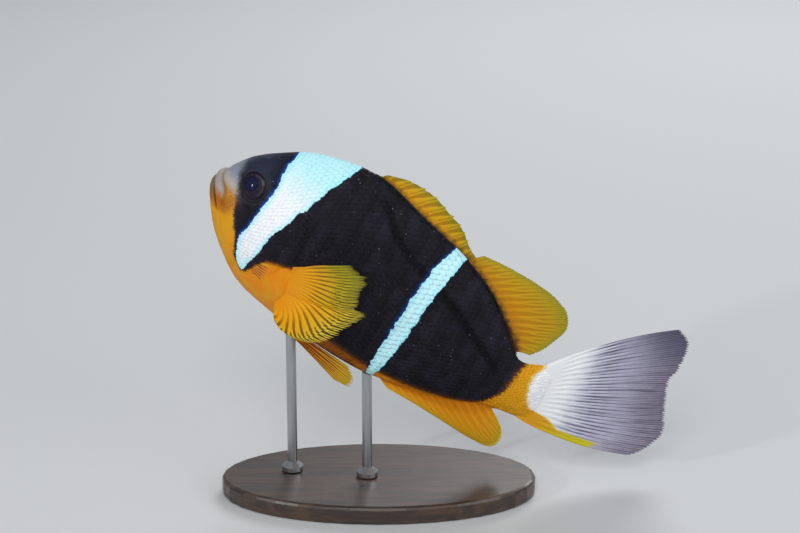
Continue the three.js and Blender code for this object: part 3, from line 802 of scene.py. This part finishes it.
scale_mesh = to_mesh(unit_sheet(SCALE_ACROSS, SCALE_ALONG), "scale")
plate = vertices(scale_mesh)
plate_across = plate[:, 0] * 2 - 1
plate_along = plate[:, 1]
rounded = np.sqrt(1 - (0.93 * np.clip(plate_along * 1.9 - 0.9, 0, 1)) ** 2)
narrow_root = 0.7 + 0.3 * smooth(plate_along / 0.4)
local_across = plate_across * rounded * narrow_root * 0.5
local_along = plate_along - 0.08 * plate_across ** 2 * plate_along
local_height = (ROOT_SINKS + (TIP_RISES - ROOT_SINKS) * smooth(plate_along * 1.1)
                + CROWN * (1 - plate_across ** 2) - SCALE_THICKNESS * (1 - plate[:, 2]))
print("scale vertices:", len(plate))

# %% Where the scales sit
SCALES_START, SCALES_END = 7.5, 94
EYE_CLEARANCE = 4.7
column_step = through([[7, 0.62], [12, 0.8], [18, 1.05], [28, 1.35], [42, 1.5], [64, 1.4], [78, 1.1], [94, 0.72]])
row_step = through([[7, 0.66], [12, 0.85], [18, 1.1], [28, 1.35], [42, 1.45], [64, 1.35], [78, 1.05], [94, 0.7]])
scaled_from = through([[-17, 12.5], [-8, 12.2], [-2, 11], [3, 9.5], [7, 9], [16, 10.5], [24, 13.5]])
throat_top = through(BLACK_FLOOR)
BARE_THROAT_END = 29


def column_angles(x, column):
    """Angles of the scales in one column of the right side, from the belly to the back."""
    fine = np.linspace(-math.pi / 2, math.pi / 2, 361)
    steps = np.linalg.norm(np.diff(body_surface(x, fine), axis=0), axis=1)
    arc = np.concatenate([[0], np.cumsum(steps)])
    arc -= arc[len(arc) // 2]
    spacing = row_step(x)
    stagger = 0.5 * (column % 2)
    rows = np.arange(math.ceil(arc[0] / spacing - stagger), math.floor(arc[-1] / spacing - stagger) + 1)
    return np.interp((rows + stagger) * spacing, arc, fine)


def scale_roots():
    found, x, column = [], SCALES_START, 0
    while x < SCALES_END:
        right = column_angles(x, column)
        found += [(x, angle) for angle in (*right, *(math.pi - right), math.pi / 2, -math.pi / 2)]
        x += float(column_step(x))
        column += 1
    return np.array(found)


roots = scale_roots()
root_z = body_surface(roots[:, 0], roots[:, 1])[:, 2]
clear_of_eye = np.hypot(roots[:, 0] + 0.6 - EYE_X, root_z - EYE_Z) > EYE_CLEARANCE
on_head = roots[:, 0] > scaled_from(root_z)
off_throat = (roots[:, 0] > BARE_THROAT_END) | (root_z > throat_top(roots[:, 0]))
scaled = clear_of_eye & on_head & off_throat
roots, root_z = roots[scaled], root_z[scaled]
chance = np.random.default_rng(7)
scale_luck = chance.uniform(-1, 1, (len(roots), 3))
print("scales:", len(roots))


# %% Lay the scales on the skin
def scale_copies(name, count):
    holder = bpy.data.objects.new(name, scale_mesh.copy())
    bpy.context.scene.collection.objects.link(holder)
    repeat = holder.modifiers.new("repeat", "ARRAY")
    repeat.count = count
    repeat.use_relative_offset = False
    view = bpy.context.evaluated_depsgraph_get()
    mesh = bpy.data.meshes.new_from_object(holder.evaluated_get(view))
    bpy.data.objects.remove(holder)
    mesh.name = name
    return mesh


def lay_scales(name, chosen):
    x0, angle0, z0 = roots[chosen, 0], roots[chosen, 1], root_z[chosen]
    luck = scale_luck[chosen]
    step, here = 0.02, body_surface(x0, angle0)
    stretch_along = np.linalg.norm(body_surface(x0 + step, angle0) - here, axis=-1) / step
    stretch_round = np.linalg.norm(body_surface(x0, angle0 + step) - here, axis=-1) / step
    length = SCALE_LENGTH * column_step(x0) * (1 + 0.06 * luck[:, 0])
    width = SCALE_WIDTH * row_step(x0) * (1 + 0.04 * luck[:, 1])
    sway = 0.05 * luck[:, 2]
    across = local_across[None] * width[:, None] + sway[:, None] * local_along[None]
    x = x0[:, None] + local_along[None] * (length / stretch_along)[:, None]
    angle = angle0[:, None] + across / stretch_round[:, None]
    ground = body_surface(x, angle)
    z = ground[..., 2]
    bed = np.maximum(relief(x, z, angle), relief(x0, z0, angle0)[:, None])
    # small scales lie flatter, and so do those at the tail and on the belly
    share = np.clip(length / FULL_LIFT_LENGTH, 0.35, 1) * (1 - 0.8 * smooth((x0 - 85) / 4))
    share = (share * (1 - 0.55 * smooth((1 - z0) / 12)))[:, None]
    height = bed - COAT + local_height[None] * share + 0.008 * luck[:, :1]
    points = ground + body_outward(x, angle) * height[..., None]
    mesh = scale_copies(name, len(x0))
    move_vertices(mesh, posed(points.reshape(-1, 3)))
    keep(mesh, "fish", x, points[..., 1], z)
    root_place = (x0 + length / 2, points[:, 0, 1], z0)
    keep(mesh, "root", *(np.repeat(part, len(plate)) for part in root_place))
    keep(mesh, "scale", plate_across, plate_along, luck[:, :1])
    lay_patches(mesh, coords(x0 / 100, (angle0 % (2 * math.pi)) / (2 * math.pi)))
    return mesh


def lay_patches(mesh, corners, size=0.003):
    """A small square of the baking map for each scale, at its root's place on the unrolled skin."""
    corner_of = np.empty(len(mesh.loops), np.int32)
    mesh.loops.foreach_get("vertex_index", corner_of)
    copy, vertex = np.divmod(corner_of, len(plate))
    spread = coords(plate[:, 0], plate[:, 1] * 0.8 + plate[:, 2] * 0.2)[vertex]
    layer = mesh.uv_layers.new(name="OFBake")
    layer.data.foreach_set("uv", (corners[copy] + spread * size).astype(np.float32).ravel())


# %% Scale finish
scale_finish = Finish("fish_scales")
own_place = scale_finish.attribute("fish")
root_place = scale_finish.attribute("root")
shared_place = scale_finish.node("Mix", {0: 0.08, 4: own_place, 5: root_place}, output=1, data_type="VECTOR")
_, scale_along, luck_value = scale_finish.attribute("scale").split()
scale_colour = scale_finish.lay(fish_colour(scale_finish, shared_place, own_place, on_face=False), [
    (scale_along.rise(0.82, 1) * 0.05, (120, 124, 140)),  # the free edge
    # painted shade: the root of each scale, under its neighbours, is a little darker
    (scale_along.fall(0.3, 0.6) * 0.03, (60, 50, 52))])  # the root, under its neighbours
scale_grain = own_place.noise(5, 2)
scale_material = scale_finish.surface(
    Base_Color=scale_colour, Roughness=luck_value * 0.05 + scale_grain * 0.15 + 0.55,
    Normal=scale_grain.bump(0.00003, 0.4), Specular_IOR_Level=0.1)
print("scale finish ready")

# %% Lay them in four lengths of the body
for name, start, end in (("scales_head", 0, 22), ("scales_shoulder", 22, 42), ("scales_flank", 42, 63),
                         ("scales_stem", 63, 100)):
    chosen = np.flatnonzero((roots[:, 0] >= start) & (roots[:, 0] < end))
    finish_piece(name, lay_scales(name, chosen), scale_material, "skin_black")

# %% [markdown]
# ## Eyes
# The eye is a shallow dome, almost flush with the cheek: a sphere, pressed flat along the direction in
# which the cheek faces, and set into the orbit that the skin leaves. Its colour is a few rings: a speckled
# deep blue pupil, a thin dark line, and a dim violet brown iris with a painted highlight, a faint lighter
# arc on its upper rear.

# %% Eye domes
EYE_RADIUS, EYE_FLATNESS, EYE_STANDS_OUT = 3.5, 0.34, 0.4
CORNEA_RADIUS, CORNEA_HEIGHT = 1.9, 0.12
PUPIL = (-0.57, 0.1)  # its centre, back and up from the middle of the dome


def eye_frame(side):
    """The middle of the dome, and the directions back, up and out of the cheek there."""
    middle = (back(EYE_X) + belly(EYE_X)) / 2
    angle = math.asin((EYE_Z - middle) / (back(EYE_X) - middle))
    angle = angle if side > 0 else math.pi - angle
    out = body_outward(EYE_X, angle)
    up = unit(np.array([0, 0, 1]) - out[2] * out)
    rear = np.cross(up, out)
    rear *= np.sign(rear[0])
    return body_surface(EYE_X, angle) + out * (EYE_STANDS_OUT - EYE_RADIUS * EYE_FLATNESS), rear, up, out


def eye_mesh(name, side):
    shape = bmesh.new()
    bmesh.ops.create_uvsphere(shape, u_segments=96, v_segments=48, radius=1)
    mesh = to_mesh(shape, name)
    ball = vertices(mesh)
    towards_tail, up, out = ball[:, 0] * EYE_RADIUS, ball[:, 1] * EYE_RADIUS, ball[:, 2]
    from_pupil = np.hypot(towards_tail - PUPIL[0], up - PUPIL[1])
    cornea = CORNEA_HEIGHT * smooth((CORNEA_RADIUS - from_pupil) / CORNEA_RADIUS * 1.6) * (out > 0)
    centre, rear_way, up_way, out_way = eye_frame(side)
    place = (centre + towards_tail[:, None] * rear_way + up[:, None] * up_way
             + (out * EYE_RADIUS * EYE_FLATNESS + cornea)[:, None] * out_way)
    move_vertices(mesh, posed(place))
    keep(mesh, "dome", towards_tail - PUPIL[0], up - PUPIL[1], out)
    weld(mesh)
    return mesh


eye_finish = Finish("eye_gloss")
dome = eye_finish.attribute("dome")
dome_rear, dome_up, _ = dome.split()
iris_rear, iris_up = dome_rear + PUPIL[0], dome_up + PUPIL[1]
rings = (dome_rear * dome_rear + dome_up * dome_up).math("SQRT")
iris_rings = (iris_rear * iris_rear + iris_up * iris_up).math("SQRT")
blue_grain = dome.cells(5).fall(0.08, 0.4) * dome.noise(3, 2).rise(0.35, 0.6)
iris_cloud = dome.noise(1.6, 3).rise(0.4, 0.65)
# painted highlight: a faint lighter arc on the upper rear of the iris, where its rim catches the light
arc = iris_rings.rise(2.2, 2.45) * iris_rings.fall(2.5, 2.8) * (iris_rear + iris_up).rise(0.5, 2.5)
eye_colour = eye_finish.lay((17, 20, 50), [
    (blue_grain * 0.9, (66, 78, 140)),
    (rings.rise(1.45, 1.62), (12, 12, 28)),
    (rings.rise(1.68, 1.9), eye_finish.mix(iris_cloud, (32, 28, 38), (44, 38, 54))),
    (arc * 0.35, (86, 76, 100)),
    (iris_rings.rise(2.75, 3), (25, 22, 30))])
eye_material = eye_finish.surface(Base_Color=eye_colour, Roughness=0.5, Coat_Weight=0.08, Coat_Roughness=0.02,
                                  Specular_IOR_Level=0.06)
for side_name, side in (("left", -1), ("right", 1)):
    name = "eye_dome_" + side_name
    finish_piece(name, eye_mesh(name, side), eye_material, "eye", "eye_" + side_name)

# %% [markdown]
# ## Fins
# A fin is a thin web stiffened by rays, and a ray splits in two and then in four towards its tip. A sheet
# one cell thick is carried to its place by two numbers: u runs along the root, v out along the rays. Near
# a ray the sheet is thicker and longer, so the edge comes out ragged.

# %% A rayed sheet
WEB_HALF = 0.07  # half the thickness of the web, in millimetres
RAY_HALF_AT_ROOT, RAY_HALF_AT_TIP = 0.3, 0.13


def ray_ridge(u, v, rays, split=0.3, broad=1):
    """1 on the middle of a ray or of one of its branches, falling to 0 between them."""
    r = u * (rays - 1)
    off = np.abs(r - np.round(r))
    first = np.abs(off - 0.24 * smooth((v - split) / 0.45))
    second = np.abs(first - 0.12 * smooth((v - split - 0.32) / 0.35))
    width = 0.2 - 0.09 * smooth(v / 0.5) - 0.04 * smooth((v - 0.5) / 0.4)
    return ridge(second, width * (broad + (1 - broad) * v ** 2))


def fin_mesh(name, point, rays, rows, columns=14, root_half=0.5, notch=0.05, split=0.3, seed=1, ray_half=1,
             fleshy=0.05, broad=1, gather=0):
    mesh = to_mesh(unit_sheet(columns * (rays - 1), rows), name)
    flat = vertices(mesh)
    u, v, side = flat[:, 0], flat[:, 1], flat[:, 2] * 2 - 1
    # the rays start closer together than the web does, above all in the middle
    fan = u + gather * (1 - v) ** 2 * smooth(u / 0.35) * (1 - 0.45 * smooth((u - 0.7) / 0.3))
    on_ray = ray_ridge(fan, v, rays, split, broad)
    luck = np.random.default_rng(seed).uniform(-1, 1, 4 * rays)
    ray_luck = luck[np.round(u * (rays - 1) * 4).astype(int) % len(luck)]
    tip = ray_ridge(u, np.ones_like(u), rays, split, broad)
    reach = v * (1 - notch * (1 - tip) * smooth((v - 0.6) / 0.4) + 0.25 * notch * ray_luck * v ** 4)
    # near the root the flesh between the rays is as thick as the rays
    full = on_ray + (1 - on_ray) * (1 - smooth((v - 0.4 * fleshy) / (0.6 * fleshy)))
    half = WEB_HALF + full * ray_half * (RAY_HALF_AT_ROOT + (RAY_HALF_AT_TIP - RAY_HALF_AT_ROOT) * v - WEB_HALF)
    half = half + (root_half - RAY_HALF_AT_ROOT) * (1 - smooth(v / 0.35))
    half = half * (1 - 0.75 * smooth((v - 0.86) / 0.14))
    step = 0.004
    along = point(np.minimum(u + step, 1), reach) - point(np.maximum(u - step, 0), reach)
    outward = point(u, reach + step) - point(u, reach - step)
    facing = unit(np.cross(along, outward))
    place = point(u, reach) + facing * (half * side)[:, None]
    move_vertices(mesh, posed(place))
    keep(mesh, "ray", fan, v, on_ray)
    keep(mesh, "out", np.linalg.norm(place - point(u, 0 * v), axis=1), u, v)
    keep(mesh, "fish", *place.T)
    weld(mesh, 1e-8)
    return mesh


def fin(name, point, material, node, slot="fin_yellow", **shape):
    finish_piece(name, fin_mesh(name, point, **shape), material, slot, node)


def degrees(knots):
    curve = through(knots)
    return lambda u: np.radians(curve(u))


def between(start, end):
    return lambda u: start + (end - start) * u


def middle_fin(root_x, root_z, angle, length, wave, sink, bow=lambda u: 0 * u):
    """The formula of a fin in the fish's middle plane. sink, (x, z), draws its root into the body."""
    def point(u, v):
        reach, rise, inside = length(u) * v, bow(u) * 4 * v * (1 - v), (1 - v) ** 2
        x = root_x(u) + reach * np.cos(angle(u)) - rise * np.sin(angle(u)) + sink[0] * inside
        z = root_z(u) + reach * np.sin(angle(u)) + rise * np.cos(angle(u)) + sink[1] * inside
        return coords(x, wave(u, v), z)
    return point


GAP = 0.3  # the CAD fins start this far off the body
SINK = 1.2  # the visible ones start this much deeper


def dorsal_root(u_to_x):
    return lambda u: back(u_to_x(u)) + GAP


print("web is", 2 * WEB_HALF, "mm thick")

# %% [markdown]
# ## Fin finishes
# A ray is bright and the web beside it is darker, so one attribute mixes the two. Both change colour from
# root to edge through a ramp. Fine cross lines mark the joints of the rays.


# %% Finish of a rayed fin
def rayed_finish(name, ray_stops, web_stops, streaks=0.35, web_share=(0.05, 0.6), lead=None, tail=False,
                 edge=None, painted_root_shade=None, fringe=0, pleat_highlights=0):
    finish = Finish(name)
    u, v, on_ray = finish.attribute("ray").split()
    place = finish.attribute("fish")
    worn = v + place.wobble(0.2, 0.5, 3)
    fibres = finish.join(u * 230, v * 4, 0).noise(1, 2)
    shows = on_ray + (fibres - 0.5) * streaks
    if fringe:
        shows = shows - v.rise(0.5, 0.95) * fringe
    # painted highlight: lighter diagonal lines in the web between the spines, along the ridges of its pleats
    if pleat_highlights:
        shows = shows + (u * (2 * math.pi * pleat_highlights) + v * 1.5).math("COSINE").fall(-1, -0.7) * 0.5
    colour = finish.mix(shows.rise(*web_share), worn.ramp(web_stops), worn.ramp(ray_stops))
    if lead:
        colour = finish.mix(u.fall(0.1, 0.55) * v.rise(0.35, 0.85) * 0.55, colour, lead)
    if tail:
        colour = finish.lay(colour, tail_markings(finish, place, u, v))
    # painted shade: the fin darkens towards its root, where it meets the body
    if painted_root_shade:
        from_root = finish.attribute("out").split()[0] + place.wobble(2.4, 0.9, 2)
        colour = finish.mix(from_root.fall(0.8, 3.2) * 0.8 + from_root.fall(0, 7) * 0.2, colour, painted_root_shade)
    if edge:
        colour = finish.mix(v.rise(0.955, 0.975) * 0.75, colour, edge)
    joints = (v * 190 + fibres * 2).math("SINE") * 0.5 + 0.5
    height = fibres * 0.7 + joints * on_ray * 0.3
    return finish.surface(Base_Color=colour, Roughness=fibres * 0.15 + 0.45, Specular_IOR_Level=0.15,
                          Normal=height.bump(0.00005, 0.5))


def tail_markings(finish, place, u, v):
    """Dark bands between bundles of rays, a dusky upper lobe, the white root and the yellow lower margin."""
    x, _, z = place.split()
    bands = finish.join(u * 34, v * 1.6, 3).noise(1, 2)
    from_white = x - edge_curve(z, WHITE_TAIL_FRONT, reach=TAIL_LENGTHS)
    margin = (u - v * 0.05).rise(0.905, 0.925) * v.fall(0.62, 0.7)
    yellow = finish.lay(GOLD, [(v.rise(0.1, 0.5), (188, 176, 30)),
                               (from_white.rise(-1.6, -0.2) * v.fall(0.2, 0.4) * 0.7, PALE_GOLD)])
    return [(bands.rise(0.5, 0.68) * v.rise(0.25, 0.5) * v.fall(0.8, 1) * 0.6, (66, 60, 82)),
            (u.fall(0.1, 0.42) * v.rise(0.45, 0.95) * 0.7, (62, 64, 86)),
            ((x + bands * 5).fall(99, 107), (232, 234, 236)),
            (margin.math("MAXIMUM", from_white.fall(-0.8, 0.7)), yellow)]


DORSAL_WEBS = [(0, 186, 118, 12), (0.35, 178, 122, 14), (0.75, 150, 120, 18), (1, 122, 114, 22)]
DORSAL_ROOT_SHADE = (66, 42, 18)
pectoral_material = rayed_finish(
    "pectoral_fin",
    [(0, 230, 144, 12), (0.35, 230, 164, 20), (0.7, 208, 166, 28), (1, 200, 180, 56)],
    [(0, 228, 140, 12), (0.25, 208, 138, 14), (0.5, 142, 96, 10), (0.8, 92, 76, 12), (1, 62, 56, 14)],
    web_share=(0, 0.3), lead=(116, 122, 22), fringe=0.32)
spiny_material = rayed_finish(
    "spiny_dorsal_fin",
    [(0, 204, 134, 12), (0.35, 214, 156, 18), (0.75, 192, 156, 24), (1, 158, 148, 32)],
    DORSAL_WEBS, streaks=0.8, painted_root_shade=DORSAL_ROOT_SHADE, pleat_highlights=10)
soft_material = rayed_finish(
    "soft_dorsal_fin",
    [(0, 192, 124, 12), (0.35, 194, 140, 18), (0.75, 176, 142, 24), (1, 150, 142, 32)],
    DORSAL_WEBS, streaks=1, painted_root_shade=DORSAL_ROOT_SHADE)
anal_material = rayed_finish(
    "anal_fin",
    [(0, 190, 112, 14), (0.3, 222, 142, 22), (0.7, 216, 154, 30), (1, 190, 158, 36)],
    [(0, 178, 102, 12), (0.3, 206, 130, 20), (0.7, 198, 142, 26), (1, 172, 146, 30)],
    streaks=0.9, edge=(240, 206, 96))
pelvic_material = rayed_finish(
    "pelvic_fin",
    [(0, 206, 112, 20), (0.4, 220, 136, 22), (0.85, 196, 150, 32), (1, 180, 152, 36)],
    [(0, 150, 72, 12), (0.5, 104, 56, 10), (1, 112, 84, 20)])
tail_material = rayed_finish(
    "tail_fin",
    [(0, 238, 238, 240), (0.2, 232, 234, 234), (0.32, 208, 212, 220), (0.55, 174, 172, 192), (1, 124, 116, 134)],
    [(0, 236, 236, 238), (0.2, 230, 232, 232), (0.3, 170, 172, 190), (0.45, 96, 92, 118), (1, 68, 62, 80)],
    streaks=0.9, tail=True)
print("six fin finishes")

# %% Dorsal and anal fins
spiny_x = between(32.5, 60.3)
soft_x = between(59.4, 81)
anal_x = between(57, 84)
dorsal_spiny = middle_fin(
    spiny_x, dorsal_root(spiny_x), degrees([[0, 40], [0.5, 40], [1, 43]]),
    through([[0, 2.2], [0.1, 5], [0.3, 7.1], [0.5, 7], [0.65, 6], [0.75, 4.6], [0.88, 2.7], [1, 2.2]]),
    lambda u, v: 0.5 * v * np.sin(9 * u), (0, -SINK))
dorsal_soft = middle_fin(
    soft_x, dorsal_root(soft_x),
    degrees([[0, 39], [0.1, 36], [0.2, 29], [0.4, 22.5], [0.6, 18], [0.7, 12], [0.85, 9], [1, -3]]),
    through([[0, 4.2], [0.1, 6.3], [0.2, 9.3], [0.4, 14.1], [0.6, 17.1], [0.7, 16.8], [0.8, 13.9], [0.9, 9.6],
             [1, 4.2]]),
    lambda u, v: 1.2 * v * v * np.sin(3 * u + 0.5), (0, -SINK))
anal = middle_fin(
    anal_x, lambda u: belly(anal_x(u)) - GAP,
    degrees([[0, -17], [0.15, -20], [0.3, -23], [0.55, -29.5], [0.75, -34], [1, -32]]),
    through([[0, 4], [0.15, 7], [0.3, 10.5], [0.55, 15.6], [0.68, 16.9], [0.78, 15.8], [0.87, 12.8], [0.94, 9],
             [1, 3.5]]),
    lambda u, v: 0.8 * v * v * np.sin(3 * u), (0, SINK))
fin("dorsal_spines", dorsal_spiny, spiny_material, "dorsal_fin_spiny", rays=11, rows=24, root_half=0.55,
    notch=0.08, split=1.2, ray_half=0.7, fleshy=0.4, broad=1.9)
fin("dorsal_rays", dorsal_soft, soft_material, "dorsal_fin_soft", rays=15, rows=40, notch=0.03, split=0.2,
    seed=2, ray_half=0.65, fleshy=0.3, broad=1.3)
fin("anal_rays", anal, anal_material, "anal_fin", rays=14, rows=40, root_half=0.85, notch=0.02, seed=3,
    ray_half=0.6, fleshy=0.8)

# %% Tail fin
TAIL_TILT, TAIL_SPREAD, TAIL_BOW = math.radians(13.7), math.radians(17.8), 2.5
tail = middle_fin(
    lambda u: 92.3 + 0 * u, between(6.4, -9.6), lambda u: TAIL_TILT + TAIL_SPREAD * (1 - 2 * u),
    through([[0, 32.8], [0.14, 36], [0.3, 34.7], [0.39, 32.7], [0.55, 33.8], [0.7, 35.8], [0.81, 36.8],
             [0.92, 33.9], [1, 30.5]]),
    lambda u, v: v * v * (5 * (0.6 - u) + 0.8 * np.sin(11 * u)), (-1.3, 0), lambda u: TAIL_BOW * (1 - 2 * u))
fin("tail_rays", tail, tail_material, "tail_fin", "fin_pale", rays=17, rows=70, columns=15, root_half=0.75,
    notch=0.025, split=0.06, seed=4, ray_half=0.7, fleshy=0.24, broad=1.2)

# %% [markdown]
# ## Paired fins
# The pectoral fin is a wide cupped fan on a fleshy base behind the gill cover, and the pelvic fin a narrow
# one that lies back along the belly. One formula makes left and right, with its y turned over.

# %% Pectoral and pelvic fins
pectoral_x = through([[0, 27.6], [0.5, 28.4], [1, 27.8]])
pectoral_z = through([[0, 1.3], [0.28, -3.9], [0.48, -5.8], [0.69, -8.4], [0.82, -9.6], [1, -10.6]])
pectoral_angle = degrees([[0, 52], [0.14, 47], [0.28, 43], [0.42, 35], [0.62, 28], [0.76, 15], [0.9, 7], [1, -4]])
pectoral_length = through([[0, 17.5], [0.14, 22], [0.28, 21.5], [0.42, 20], [0.48, 22.5], [0.62, 19.4],
                           [0.76, 14.4], [0.87, 10], [0.96, 4.8], [1, 2.6]])
pectoral_out = through([[0, 8.8], [0.28, 10], [0.42, 9], [0.62, 10], [0.82, 11.2], [0.92, 10], [1, 6]])
pelvic_angle = degrees([[0, 4], [0.4, -5], [1, -12]])
pelvic_length = through([[0, 18.5], [0.25, 20.5], [0.6, 20], [1, 16]])
PELVIC_SPREAD = 0.13
PECTORAL_STANDS_OFF = 0.6
PECTORAL_SINK = 1.2  # its base starts this deep inside the body
PECTORAL_BOW = 1.3  # how far the upper rays arch


def pectoral(side):
    def point(u, v):
        x, z, angle, reach = pectoral_x(u), pectoral_z(u), pectoral_angle(u), pectoral_length(u) * v
        out = pectoral_out(u) * np.sin(v * math.pi / 2) - PECTORAL_SINK * (1 - smooth(v / 0.3))
        arch = PECTORAL_BOW * np.clip(1 - 2 * u, 0, 1) * 4 * v * (1 - v)
        return coords(x + reach * np.cos(angle) - arch * np.sin(angle),
                      side * (side_of_body(x, z) + PECTORAL_STANDS_OFF + out),
                      z + reach * np.sin(angle) + arch * np.cos(angle))
    return point


def pelvic(side):
    def point(u, v):
        angle, reach = pelvic_angle(u), pelvic_length(u) * v
        return coords(32 + 1.6 * u + reach * np.cos(angle), side * (3 + 0.2 * u + reach * PELVIC_SPREAD),
                      -16.2 - 0.8 * u + reach * np.sin(angle))
    return point


for side_name, side in (("left", -1), ("right", 1)):
    fin("pectoral_rays_" + side_name, pectoral(side), pectoral_material, "pectoral_fin_" + side_name, rays=19,
        rows=48, columns=20, root_half=0.9, notch=0.11, split=0.35, seed=5, ray_half=0.85, fleshy=0.3, broad=1.7,
        gather=0.33)
    fin("pelvic_rays_" + side_name, pelvic(side), pelvic_material, "pelvic_fin_" + side_name, rays=6, rows=40,
        root_half=0.8, seed=6)

# %% [markdown]
# ## The stand
# The base is dark stained wood under a satin lacquer, and the rods are drawn steel. Both keep their CAD
# shape. The grain is a noise stretched along the board, whose waves make the rings, and the drawing marks
# on the steel are a noise stretched up the rod.

# %% Wood and steel
wood = Finish("stained_wood")
grain = wood.object_place().stretch((18, 130, 130)).noise(1, 4, 0.6)
wood_pores = wood.object_place().stretch((260, 2600, 2600)).noise(1, 2)
wood_colour = wood.lay((46, 33, 27), [
    ((grain * 34).math("SINE") * 0.5 + 0.5, (70, 50, 38)),
    (wood_pores.rise(0.55, 0.7) * 0.6, (24, 18, 16))])
wood.surface(Base_Color=wood_colour, Roughness=wood_pores * 0.2 + 0.28, Coat_Weight=0.3, Coat_Roughness=0.2,
             Normal=wood_pores.bump(0.00006, 0.5))

steel = Finish("drawn_steel")
drawn = steel.object_place().stretch((5000, 5000, 120)).noise(1, 3)
steel.surface(Base_Color=steel.mix(drawn, (150, 152, 156), (196, 198, 200)), Metallic=1,
              Roughness=drawn * 0.22 + 0.22, Normal=drawn.bump(0.00002, 0.4))

for node, finish in (("stand_base", wood), ("stand_rod_front", steel), ("stand_rod_rear", steel)):
    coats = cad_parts[node].data.materials
    coats.clear()
    coats.append(finish.material)
print("stand finished")

# %% [markdown]
# ## The size of the dressed model
# The dressed model should fill the same box as the CAD model, so both boxes are printed side by side.

# %% Sizes
visual_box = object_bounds()
sizes = {"cad": [list(corner) for corner in cad_box], "visual": [list(corner) for corner in visual_box]}
for name, box in sizes.items():
    print(name, [[round(value, 4) for value in corner] for corner in box])
